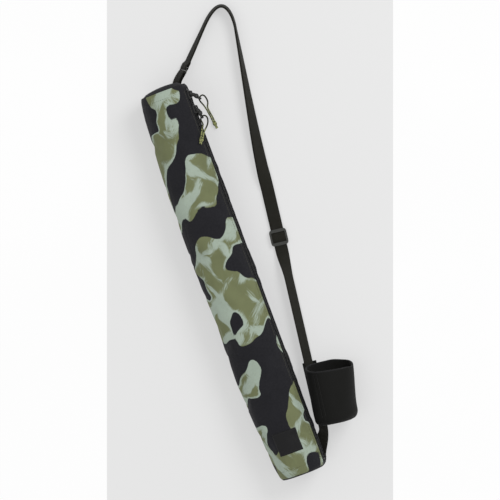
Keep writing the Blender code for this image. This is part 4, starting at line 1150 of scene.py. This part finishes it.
def add_knot(name, start, way, span):
    """An overhand knot with two short cut ends."""
    side = way.orthogonal().normalized()
    other = way.cross(side)
    size = KNOT_RADIUS - CORD_RADIUS * 0.8
    found = []
    for phase in KNOT_PHASES:
        line = []
        for share in np.linspace(0, 1, 33):
            turn = phase + 2 * math.pi * KNOT_TURNS * share
            wide = size * (0.35 + 0.65 * math.sin(math.pi * min(1.0, share * 1.05)))
            line.append(start + way * (0.6 * MM + share * KNOT_LENGTH * 0.62)
                        + side * wide * math.cos(turn) + other * wide * math.sin(turn))
        found.append(strand(line, CORD_RADIUS * 0.95, KNOT_SIDES, 1, KNOT_STEP, caps=2))
    for across in (-1, 1):
        line = [start + way * (KNOT_LENGTH * (0.5 + 0.47 * share))
                + other * across * (0.7 + 0.9 * share ** 2) * MM for share in np.linspace(0, 1, 9)]
        found.append(strand(line, CORD_RADIUS * 0.9, KNOT_SIDES, 1, KNOT_STEP, caps=2))
    return add_piece("knot_" + name, joined_mesh(found), "knot", ["cord_knot_" + name], span=span)


def build_cords():
    matrix = tab_matrix(UPPER_Y, UPPER_TAB_ANGLE)
    hole = matrix @ Vector((TAB_HOLE_X, 0, 0))
    lying = KNOT_RADIUS + FLOOR_GAP
    drop = hole.z - lying
    strands = [[Vector((TUBE_RADIUS + out * MM, hole.y + along * MM, lying + drop * rise))
                for out, along, rise in route] for route in (UPPER_INNER, UPPER_OUTER)]
    add_cord("upper", *strands, cord_turn(matrix, UPPER_FALL))
    matrix = tab_matrix(LOWER_Y, LOWER_TAB_ANGLE)
    hole = matrix @ Vector((TAB_HOLE_X, 0, 0))
    seat = TUBE_RADIUS + FIT_GAP + CORD_RADIUS
    knot_lift = KNOT_RADIUS - CORD_RADIUS
    strands = [[on_tube(seat + knot_lift * lift, ZIP_ANGLE + turn, hole.y + along * MM)
                for lift, turn, along in route] for route in (LOWER_INNER, LOWER_OUTER)]
    add_cord("lower", *strands, cord_turn(matrix, LOWER_FALL))


# Webbing: a strip through stations, each with a place, the way on, and the way across its width

Station = namedtuple("Station", "place way across")
STATIONS = 24


def station(place, way, tilt):
    turn = math.radians(tilt)
    level = way.cross(UP).normalized()
    across = level * math.cos(turn) + UP * math.sin(turn)
    across = (across - way * across.dot(way)).normalized()
    return Station(place, way, across)


def face_of(stop):
    return stop.across.cross(stop.way).normalized()


def shifted(stop, distance):
    return Station(stop.place + face_of(stop) * distance, stop.way, stop.across)


def even(start, end):
    """A twist that eases from one tilt to another."""
    return lambda share: start + (end - start) * smooth(0, 1, share)


def through(shares, tilts):
    """A twist through those tilts, at those shares of the way."""
    return lambda share: float(np.interp(share, shares, tilts))


def sweep(start, start_way, end, end_way, fullness, twist, count=STATIONS):
    """Stations along a smooth bend. fullness is how far it runs on from its start and its end."""
    first, last = fullness if isinstance(fullness, tuple) else (fullness, fullness)
    found = []
    for i in range(1, count):
        t = i / count
        ease = t * t * (3 - 2 * t)
        place = (start * (1 - ease) + end * ease + start_way * first * (t ** 3 - 2 * t ** 2 + t)
                 + end_way * last * (t ** 3 - t ** 2))
        way = ((end - start) * (6 * t - 6 * t * t) + start_way * first * (3 * t * t - 4 * t + 1)
               + end_way * last * (3 * t * t - 2 * t))
        found.append(station(place, way.normalized(), twist(t)))
    return found


def fold(middle, stop, pitch, count=12):
    """Webbing round a bar, a little slack at the turn."""
    out = face_of(stop)
    found = []
    for i in range(count + 1):
        turn = math.pi * i / count
        place = (middle + out * math.cos(turn) * pitch / 2
                 + stop.way * math.sin(turn) * (pitch / 2 + FIT_GAP))
        found.append(Station(place, stop.way * math.cos(turn) - out * math.sin(turn), stop.across))
    return found


def lifted(stop):
    steep = abs(stop.across.z)
    height = STRAP_FLAT_Z * math.sqrt(1 - steep ** 2) + (WEBBING_WIDTH / 2 + FLOOR_GAP) * steep
    return Station(Vector((stop.place.x, stop.place.y, height)), stop.way, stop.across)


def between(start, end, count):
    """Stations evenly along a straight run."""
    return [Station(start.place.lerp(end.place, i / count), start.way, start.across)
            for i in range(count + 1)]


def ribbon_mesh(stations, width=WEBBING_WIDTH):
    """Webbing with rounded edges. Its flat place is across and along, in metres."""
    half, thick = width / 2, WEBBING_WALL / 2
    edge = [(half - thick * 0.6, 1.0), (half - thick * 0.15, 0.75), (half, 0.0),
            (half - thick * 0.15, -0.75), (half - thick * 0.6, -1.0)]
    section = [(x, y * thick) for x, y in edge]
    section += [(half * share, -thick) for share in (0.5, 0.0, -0.5)]
    section += [(-x, -y * thick) for x, y in edge]
    section += [(half * share, thick) for share in (-0.5, 0.0, 0.5)]
    rows, marks = [], []
    far = lengths_along([s.place for s in stations])
    for stop, reach in zip(stations, far):
        out = face_of(stop)
        rows.append([stop.place + stop.across * x + out * y for x, y in section])
        marks.append([(x, reach) for x, _ in section])
    return grid_mesh(rows, marks, turn=0.0, caps=2)


HOLDER_WAY = heading(HOLDER_ANGLE)
HOLDER_RIGHT = HOLDER_WAY.cross(UP)
HOLDER_Z = HOLDER_RADIUS + FIT_GAP
HOLDER_REACH = TUBE_RADIUS + HOLDER_RADIUS + HOLDER_TUBE_GAP
HOLDER_X = math.sqrt(HOLDER_REACH ** 2 - (TUBE_Z - HOLDER_Z) ** 2)
HOLDER_BASE = Vector((HOLDER_X, HOLDER_FROM_SEAM - SEAM_Y, HOLDER_Z))
CHANNEL_TURN = math.radians(CHANNEL_SIDE)
CHANNEL_OUT = -(HOLDER_RIGHT * math.cos(CHANNEL_TURN) + UP * math.sin(CHANNEL_TURN))
CHANNEL_WIDE = HOLDER_RIGHT * math.sin(CHANNEL_TURN) - UP * math.cos(CHANNEL_TURN)
HOLDER_RUN_START = HOLDER_BASE + CHANNEL_OUT * CHANNEL_STRAP_RADIUS - HOLDER_WAY * RUN_MARGIN
HOLDER_RUN_LENGTH = HOLDER_LENGTH + CHANNEL_ABOVE_RIM + HOLDER_TRAVEL + 2 * RUN_MARGIN
HOLDER_RUN_END = HOLDER_RUN_START + HOLDER_WAY * HOLDER_RUN_LENGTH
GLIDE_WAY = heading(GLIDE_ANGLE)
GLIDE_RUN_START = HOLDER_RUN_END + heading(TWIST_ANGLE) * TWIST_LENGTH
GLIDE_RUN_START.z = STRAP_FLAT_Z
GLIDE_REST = GLIDE_RUN_START + GLIDE_WAY * (RUN_MARGIN + GLIDE_TRAVEL_DOWN + GLIDE_LENGTH / 2)
GLIDE_RUN_END = GLIDE_REST + GLIDE_WAY * (GLIDE_LENGTH / 2 + GLIDE_TRAVEL_UP + RUN_MARGIN)
RING_WAY = heading(RING_ANGLE)
RING_HALF_WIDTH = WEBBING_WIDTH / 2 + RING_SIDE_GAP + RING_WIRE
RING_Z = (RING_HALF_WIDTH + RING_WIRE) * math.sin(math.radians(RING_TILT)) + FLOOR_GAP
RING_CENTRE = Vector((TUBE_RADIUS + RING_OUT, SEAM_Y + RING_BEYOND_SEAM, RING_Z))
RING_STRAP_BAR = RING_CENTRE + RING_WAY * RING_BAR_SPACING / 2
RING_TAB_BAR = RING_CENTRE - RING_WAY * RING_BAR_SPACING / 2
# The strap's tilt from flat: how much it loses at the lower seam, then at shares of the climb, at
# the top of the right leg, at the top of the left leg, and at the end of that
LEAVING_UNTWIST = 10
CLIMB_SHARES, CLIMB_TILTS = (0, 0.12, 0.3, 0.6, 1), (0, -30, -44, -63, -84)
RIGHT_TILT, LEFT_TILT, LEFT_END_TILT = -84, -77, -69
WIDE_STATIONS = 20
BOX_INSET, BOX_START, BOX_END = 2.2 * MM, 0.1, 0.95
BOX_STITCH = {"length": 1.8 * MM, "gap": 0.5 * MM}
# The folded tab: how it leaves the seam and arrives at the ring, its tilts on the way, and how far
# it runs on at both ends
TAB_LEAVE_ANGLE, TAB_ARRIVE_ANGLE = -14, 54
TAB_TILTS = (54, 61)
TAB_LEADS = (1.35, 1.1)
# The webbing over the adjuster's middle bar: its least and further height, how long it stays up,
# and how much wider it is than the strap that it covers
OVER_BAR_LOW, OVER_BAR_RISE = 0.1 * MM, 1.9 * MM
OVER_BAR_TOP, OVER_BAR_EXTRA = 2.2 * MM, 2.8 * MM


def strap_route():
    """The shoulder strap from the lower seam to the ring, and the stations above the adjuster."""
    seat = TUBE_RADIUS + FIT_GAP + WEBBING_WALL / 2
    seam_tilt, holder_tilt = STRAP_SEAM_ANGLE + 90, CHANNEL_SIDE - 90
    leaving_tilt = seam_tilt - LEAVING_UNTWIST
    sewn = on_tube(seat - WEBBING_WALL, STRAP_SEAM_ANGLE, -SEAM_Y - 2 * PIPING_RADIUS)
    leaving = on_tube(seat, STRAP_SEAM_ANGLE, STRAP_SEWN_LENGTH - SEAM_Y)
    lead = (HOLDER_RUN_START - leaving).length
    lower = [station(sewn.lerp(leaving, i / 3), ALONG, seam_tilt - LEAVING_UNTWIST * i / 3)
             for i in range(4)]
    leaving_way = (heading(STRAP_LEAVE_ANGLE) - UP * STRAP_LEAVE_DIP).normalized()
    twist = even(leaving_tilt, holder_tilt)
    rise = sweep(leaving, leaving_way, HOLDER_RUN_START, HOLDER_WAY, lead, twist)
    for i, stop in enumerate(rise, 1):
        share = i / STATIONS
        first, last, here = (math.cos(math.radians(tilt))
                             for tilt in (leaving_tilt, holder_tilt, twist(share)))
        bulge = here - first - (last - first) * share
        place = stop.place - HOLDER_RIGHT * bulge * STRAIGHTENED * WEBBING_WIDTH / 2
        lower.append(Station(place, stop.way, stop.across))
    lower += between(station(HOLDER_RUN_START, HOLDER_WAY, holder_tilt),
                     station(HOLDER_RUN_END, HOLDER_WAY, holder_tilt), STATIONS)
    lower += sweep(HOLDER_RUN_END, HOLDER_WAY, GLIDE_RUN_START, GLIDE_WAY, TWIST_LENGTH,
                   lambda share: holder_tilt * (1 - share * share))
    lower += between(station(GLIDE_RUN_START, GLIDE_WAY, 0),
                     station(GLIDE_RUN_END, GLIDE_WAY, 0), STATIONS)[:-1]

    right_top = Vector((*RIGHT_LEG_TOP, STRAP_EDGE_Z))
    right_way = heading(RIGHT_LEG_ANGLE)
    left_end = RING_STRAP_BAR + RING_WAY * RING_LEAD
    left_end.z = STRAP_EDGE_Z
    left_top = left_end + RING_WAY * LEFT_LEG_LENGTH
    climb = (right_top - GLIDE_RUN_END).length * CLIMB_FULLNESS
    upper = [station(GLIDE_RUN_END, GLIDE_WAY, 0)]
    upper += sweep(GLIDE_RUN_END, GLIDE_WAY, right_top, right_way, climb,
                   through(CLIMB_SHARES, CLIMB_TILTS), 48)
    upper += [station(right_top, right_way, RIGHT_TILT)]
    upper += sweep(right_top, right_way, left_top, -RING_WAY, PEAK_FULLNESS,
                   through((0, 0.5), (RIGHT_TILT, LEFT_TILT)), 40)
    upper += [station(left_top, -RING_WAY, LEFT_TILT)]
    upper += sweep(left_top, -RING_WAY, left_end, -RING_WAY, LEFT_LEG_LENGTH,
                   even(LEFT_TILT, LEFT_END_TILT), 10)
    upper = [lifted(stop) for stop in [*upper, station(left_end, -RING_WAY, LEFT_END_TILT)]]

    at_ring = station(RING_STRAP_BAR, -RING_WAY, -RING_TILT)
    above = shifted(at_ring, RING_PITCH / 2)
    arrive = Station(above.place + RING_WAY * (LOOP_TAIL + FIT_GAP), above.way, above.across)
    lead_in = sweep(upper[-1].place, -RING_WAY, arrive.place, -RING_WAY, RING_LEAD,
                    even(LEFT_END_TILT, -RING_TILT), 12)
    upper += [*lead_in, arrive]
    loop = fold(RING_STRAP_BAR, at_ring, RING_PITCH)
    last = loop[-1]
    loop += [Station(last.place + RING_WAY * LOOP_TAIL, last.way, last.across)]
    return lower, upper, loop, len(lead_in)


def return_route(upper, wide_from):
    """The second layer of the strap, under the first: from the adjuster's bar up to the ring."""
    flat = station(GLIDE_REST, GLIDE_WAY, 0)
    middle = GLIDE_REST - GLIDE_WAY * (GLIDE_BAR_WIDTH / 2 - 2 * FIT_GAP)
    middle.z = FIT_GAP + WEBBING_WALL / 2 + GLIDE_WRAP_RADIUS
    found = []
    for i in range(9):
        turn = math.radians(90 * i / 8)
        place = middle - (GLIDE_WAY * math.cos(turn) + UP * math.sin(turn)) * GLIDE_WRAP_RADIUS
        found.append(Station(place, GLIDE_WAY * math.sin(turn) - UP * math.cos(turn), flat.across))
    start = found[-1]
    end = shifted(upper[0], -LAYER_PITCH)
    found += between(Station(start.place, GLIDE_WAY, start.across),
                     Station(end.place, GLIDE_WAY, start.across), 12)[1:-1]
    first_wide = len(upper) - 1 - wide_from
    for i, stop in enumerate(upper):
        near_glide = max(0, 1 - i / WIDE_STATIONS)
        near_ring = max(0, i - first_wide) / (len(upper) - 1 - first_wide)
        extra = (LAYER_PITCH - FOLD_PITCH) * near_glide + (RING_PITCH - FOLD_PITCH) * near_ring
        found.append(shifted(stop, -FOLD_PITCH - extra))
    return found


def box_stitching(stop, length, side):
    """A sewn box with a cross in it, on one face of the webbing, from a station back along it."""
    out = face_of(stop) * side
    reach = WEBBING_WIDTH / 2 - BOX_INSET
    lift = out * (WEBBING_WALL / 2)

    def at(across, back):
        return stop.place + stop.across * across * reach - stop.way * back * length + lift, out

    first, second = at(-1, BOX_START), at(1, BOX_START)
    third, fourth = at(1, BOX_END), at(-1, BOX_END)
    around = [first, second, third, fourth, first, third]
    return [*map(list, zip(around, around[1:])), [second, fourth]]


def build_strap():
    lower, upper, loop, wide_from = strap_route()
    add_piece("strap_webbing", ribbon_mesh(lower + upper + loop), "webbing", ["shoulder_strap"])
    second = ribbon_mesh(return_route(upper, wide_from))
    add_piece("strap_second_layer", second, "webbing", ["strap_return"])
    routes = box_stitching(lower[3], STRAP_SEWN_LENGTH, -1)
    stitch_rows("strap_end_stitching", routes, "webbing", **BOX_STITCH)


def build_glide():
    """The adjuster, and the short rise of the webbing over its middle bar."""
    dress("tri_glide", "moulded_plastic", 0.8 * MM)
    reach = GLIDE_LENGTH / 2 - GLIDE_END_BAR * 0.6
    flat = station(GLIDE_REST, GLIDE_WAY, 0)

    def place(along):
        rise = OVER_BAR_RISE * smooth(reach - 0.5 * MM, OVER_BAR_TOP, abs(along))
        return GLIDE_REST + GLIDE_WAY * along + UP * (OVER_BAR_LOW + rise)

    stops = []
    for along in np.linspace(-reach, reach, 31):
        way = (place(along + 0.2 * MM) - place(along - 0.2 * MM)).normalized()
        stops.append(Station(place(along), way, flat.across))
    data = ribbon_mesh(stops, WEBBING_WIDTH + OVER_BAR_EXTRA)
    add_piece("strap_over_bar", data, "webbing", body="glide")


def build_anchor_tab():
    seat = TUBE_RADIUS + FIT_GAP + WEBBING_WALL / 2 + FOLD_PITCH / 2
    seam_tilt = 90 + TAB_SEAM_ANGLE
    sewn = on_tube(seat, TAB_SEAM_ANGLE, SEAM_Y - TAB_SEWN_LENGTH)
    leaving = on_tube(seat, TAB_SEAM_ANGLE, SEAM_Y)
    at_ring = station(RING_TAB_BAR, RING_WAY, RING_TILT)
    lead = (RING_TAB_BAR - leaving).length
    middle = between(station(sewn, ALONG, seam_tilt), station(leaving, ALONG, seam_tilt), 3)
    first = len(middle) - 1
    twist = through((0, 0.3, 0.6, 1), (seam_tilt, *TAB_TILTS, RING_TILT))
    leads = tuple(lead * share for share in TAB_LEADS)
    for stop in sweep(leaving, heading(TAB_LEAVE_ANGLE), RING_TAB_BAR, heading(TAB_ARRIVE_ANGLE),
                      leads, twist):
        stop.place.z = max(stop.place.z, WEBBING_WIDTH / 2 * stop.across.z + 2 * FLOOR_GAP)
        middle.append(stop)
    out, back = [], []
    for i, stop in enumerate(middle):
        pitch = FOLD_PITCH + (RING_PITCH - FOLD_PITCH) * max(0, i - first) / (len(middle) - first)
        out.append(shifted(stop, pitch / 2))
        back.append(shifted(stop, -pitch / 2))
    route = out + fold(RING_TAB_BAR, at_ring, RING_PITCH) + back[::-1]
    add_piece("anchor_webbing", ribbon_mesh(route), "webbing", ["anchor_tab"])
    routes = box_stitching(out[first], TAB_SEWN_LENGTH, 1)
    stitch_rows("anchor_stitching", routes, "webbing", **BOX_STITCH)
    dress("strap_ring", "moulded_plastic", 0.2 * MM)


# Can holder: a soft cup whose upper wall sags a little at the mouth

HOLDER_SEAMS = (135, 125)
SEAM_DENT, SEAM_DENT_ANGLE = 0.9 * MM, 1.6
# How far the mouth spreads, and how far the base is drawn in on the right and on the left
MOUTH_SPREAD, RIGHT_TUCK, LEFT_TUCK = 9.5 * MM, 5.5 * MM, 2.5 * MM
MOUTH_SINK = 0.10
# How far the rim drops on the upper side, how much more on its right, and on the right side
UPPER_DROP, UPPER_DROP_RIGHT, RIGHT_DROP = 13.0 * MM, 2.5 * MM, 6.0 * MM
BASE_ROUND, BASE_ROUND_RIGHT = 10 * MM, 5 * MM
WALL_SLACK, WALL_INSET = 0.7 * MM, 0.4 * MM
RIM_HALF_WIDTH, RIM_HALF_HEIGHT = HOLDER_WALL / 2 + 0.25 * MM, 1.5 * MM
RIM_INSET = 1.2 * MM
DISC_SHARES = (1.0, 0.66, 0.33, 0.03)


def holder_place(radius, angle, y):
    """A place on the holder: angle 90 is its upper side, and y runs from its base to its rim.
    Empty, its mouth spreads to the right and sinks a little."""
    turn = math.radians(angle)
    wide = math.cos(turn)
    open_share = smooth(0.1, 1.0, y / HOLDER_LENGTH)
    move = (MOUTH_SPREAD * open_share - RIGHT_TUCK) * smooth(-0.6, 1.0, wide)
    move -= LEFT_TUCK * (1 - open_share) * smooth(0.5, 1.0, -wide)
    right = radius * wide + move * radius / HOLDER_RADIUS
    rise = radius * math.sin(turn)
    if rise > 0:
        rise *= 1 - MOUTH_SINK * open_share
    return HOLDER_BASE + HOLDER_WAY * y + HOLDER_RIGHT * right + UP * rise


def rim_drop(angle):
    """How much lower the rim lies on the upper and the right side than at the back."""
    right, rise = math.cos(math.radians(angle)), math.sin(math.radians(angle))
    drop = (UPPER_DROP + UPPER_DROP_RIGHT * right) * smooth(-0.7, 1.0, rise)
    return drop + RIGHT_DROP * smooth(0.1, 1.0, right) * (1 - smooth(0.2, 0.9, rise))


def holder_shape(angle, y, inset=0.0):
    """The radius of the holder's soft wall: rounded at the base, a little slack above."""
    radius = HOLDER_RADIUS - inset
    turn = math.radians(angle)
    corner = BASE_ROUND + BASE_ROUND_RIGHT * smooth(0.2, 0.9, math.cos(turn)) - inset
    if y - inset - HOLDER_SAG < corner:
        low = max(0.0, corner - (y - inset - HOLDER_SAG))
        radius += math.sqrt(max(0, corner ** 2 - low ** 2)) - corner
    slack = noise.noise(Vector((math.cos(turn) * 1.5, math.sin(turn) * 1.5, y / 0.05)))
    return radius + WALL_SLACK * slack * smooth(0, 0.3, y / HOLDER_LENGTH) - WALL_INSET


def rim_y(angle):
    return HOLDER_LENGTH - RIM_INSET - rim_drop(angle)


def holder_out(angle):
    return holder_place(1, angle, 0) - holder_place(0, angle, 0)


def build_holder():
    angles = list(np.linspace(0, 360, 120, endpoint=False))
    outer, inner, marks = [], [], []
    for share in np.linspace(0, 1, 46):
        line, lining, flat = [], [], []
        for angle in angles:
            top = rim_y(angle)
            y = HOLDER_SAG + (top - HOLDER_SAG) * share
            seam = sum(dent(angle - middle, SEAM_DENT, SEAM_DENT_ANGLE) for middle in HOLDER_SEAMS)
            line.append(holder_place(holder_shape(angle, y) - seam, angle, y))
            deep = HOLDER_WALL + (top - HOLDER_WALL) * share
            size = max(2 * MM, holder_shape(angle, deep, HOLDER_WALL))
            lining.append(holder_place(size, angle, deep))
            flat.append((math.radians(angle) * HOLDER_RADIUS, y))
        outer.append(line)
        inner.append(lining)
        marks.append(flat)
    around = 2 * math.pi * HOLDER_RADIUS
    data = grid_mesh([row[::-1] for row in outer], [row[::-1] for row in marks], turn=-around)
    piece = add_piece("holder_wall", data, "neoprene", ["holder_sleeve", "holder_base"], "holder")
    add_piece("holder_inside", grid_mesh(inner, marks, turn=around), "neoprene", body="holder")
    for name, rim, y, order in (("holder_foot", outer[0], HOLDER_SAG, -1),
                                ("holder_floor", inner[0], HOLDER_WALL, 1)):
        middle = holder_place(0, 0, y)
        discs = [[middle.lerp(p, share) for p in rim] for share in DISC_SHARES]
        flat = [[(out.x * share * HOLDER_RADIUS, out.z * share * HOLDER_RADIUS)
                 for out in map(out_of, angles)] for share in DISC_SHARES]
        data = grid_mesh(discs[::order], flat[::order], turn=0.0)
        add_piece(name, data, "neoprene", body="holder")

    stops = []
    for angle in [*angles, 360.0]:
        top = rim_y(angle)
        middle = holder_place(holder_shape(angle, top) - HOLDER_WALL / 2, angle, top - 0.4 * MM)
        stops.append((angle, middle, holder_out(angle) * RIM_HALF_WIDTH))
    data = edge_binding(stops, HOLDER_WAY * RIM_HALF_HEIGHT, HOLDER_RADIUS, 12)
    add_piece("holder_rim", data, "binding", ["holder_binding"], "holder")
    build_channel()

    routes = []
    for angle in HOLDER_SEAMS:
        out = holder_out(angle).normalized()
        lines = np.linspace(12 * MM, HOLDER_LENGTH - 4 * MM - rim_drop(angle), 30)
        routes.append([(holder_place(holder_shape(angle, y) - 0.35 * MM, angle, y), out)
                       for y in lines])
    stitch_rows("holder_stitching", routes, "neoprene", "holder", length=2.4 * MM)


def build_channel():
    """The sewn channel on the holder that the strap runs through."""
    base_top = HOLDER_ROUND + HOLDER_WALL / 2
    flat_out = CHANNEL_STRAP_RADIUS + WEBBING_WALL / 2 + CHANNEL_SLACK + CHANNEL_WALL / 2
    shoulder = WEBBING_WIDTH / 2 + 1.4 * MM
    foot_out = WEBBING_WIDTH / 2 + 5 * MM
    foot_in = math.sqrt((HOLDER_RADIUS + FIT_GAP + CHANNEL_WALL * 0.6) ** 2 - foot_out ** 2)
    corner = smooth_curve([Vector((foot_out, foot_in, 0)),
                           Vector((shoulder + 1.6 * MM, flat_out - 1.5 * MM, 0)),
                           Vector((shoulder - 0.6 * MM, flat_out, 0)),
                           Vector((0, flat_out + 0.15 * MM, 0))], 16)
    section = [(-p.x, p.y) for p in corner] + [(p.x, p.y) for p in corner[-2::-1]]
    reach = np.linspace(base_top + 3 * MM, HOLDER_LENGTH + CHANNEL_ABOVE_RIM / 2, 24)
    rows = [[HOLDER_BASE + CHANNEL_WIDE * s + CHANNEL_OUT * r + HOLDER_WAY * y for s, r in section]
            for y in reach]
    data = grid_mesh(rows, [[(s, y) for s, _ in section] for y in reach])
    channel = add_piece("holder_strap_channel", data, "neoprene", ["holder_channel"], "holder")
    thickened(channel, CHANNEL_WALL, 0.0)


# Floor and light

CARD_HALF_WIDTH = 223.5 * MM
CARD_WALL = 1 * MM
TABLE_HALF_WIDTH = 6
CARD_GLOW, TABLE_GLOW = 0.6, 0.95
SKY_STRENGTH = 0.6


def add_stage(name, half_width, half_length, z, colours, glow_share):
    """A flat sheet under the object. What the camera sees of it is partly its own plain colour."""
    data = bpy.data.meshes.new(name)
    corners = ((-1, -1), (1, -1), (1, 1), (-1, 1))
    data.from_pydata([(x * half_width, y * half_length, 0) for x, y in corners], [], [(0, 1, 2, 3)])
    made = Finish(name, 0.9, 0.05)
    paper = made.mix(made.noise(made.place(), 3.0), *colours)
    made.colour(paper)
    rays = made.node("LightPath", {}).outputs
    seen = made.math("MAXIMUM", rays["Is Camera Ray"], rays["Is Glossy Ray"])
    seen = made.math("MAXIMUM", seen, rays["Is Transmission Ray"])
    glow = made.node("Emission", {"Color": paper}).outputs[0]
    share = made.math("MULTIPLY", seen, glow_share)
    blend = made.node("MixShader", {0: share, 1: made.shader.outputs[0], 2: glow})
    made.put(made.tree.nodes["Material Output"].inputs["Surface"], blend.outputs[0])
    data.materials.append(made.material)
    sheet = add_object(name, data)
    sheet.location = (*IMAGE_CENTRE, z)
    sheet.rotation_euler = (0, 0, math.radians(IMAGE_TURN))


def add_floor():
    """A pale grey card on a white table."""
    grey = ((0.785, 0.785, 0.785), (0.795, 0.795, 0.795))
    white = ((0.97, 0.97, 0.97), (1.0, 1.0, 1.0))
    add_stage("card", CARD_HALF_WIDTH, 2 * IMAGE_HALF_WIDTH, 0, grey, CARD_GLOW)
    add_stage("floor", TABLE_HALF_WIDTH, TABLE_HALF_WIDTH, -CARD_WALL, white, TABLE_GLOW)


def add_light(name, place, aim, size, power):
    data = bpy.data.lights.new(name, "AREA")
    data.shape = "DISK"
    data.size = size
    data.energy = power
    made = add_object(name, data)
    made.location = place
    made.rotation_euler = (Vector(aim) - Vector(place)).to_track_quat("-Z", "Y").to_euler()


def add_lights():
    world = bpy.data.worlds.new("studio")
    bpy.context.scene.world = world
    world.use_nodes = True
    sky = world.node_tree.nodes["Background"]
    sky.inputs["Color"].default_value = (1, 1, 1, 1)
    sky.inputs["Strength"].default_value = SKY_STRENGTH
    add_light("key", (1.9, 0.9, 2.6), (0, 0, 0), 1.6, 46)
    add_light("fill", (-1.4, -0.6, 3.0), (0, 0, 0), 2.4, 20)
    bpy.context.scene.view_settings.view_transform = "Standard"


add_camera()
build_cords()
build_tube()
build_end("top", 1)
build_end("bottom", -1)
build_label()
build_zip()
build_strap()
build_glide()
build_anchor_tab()
build_holder()
add_floor()
add_lights()
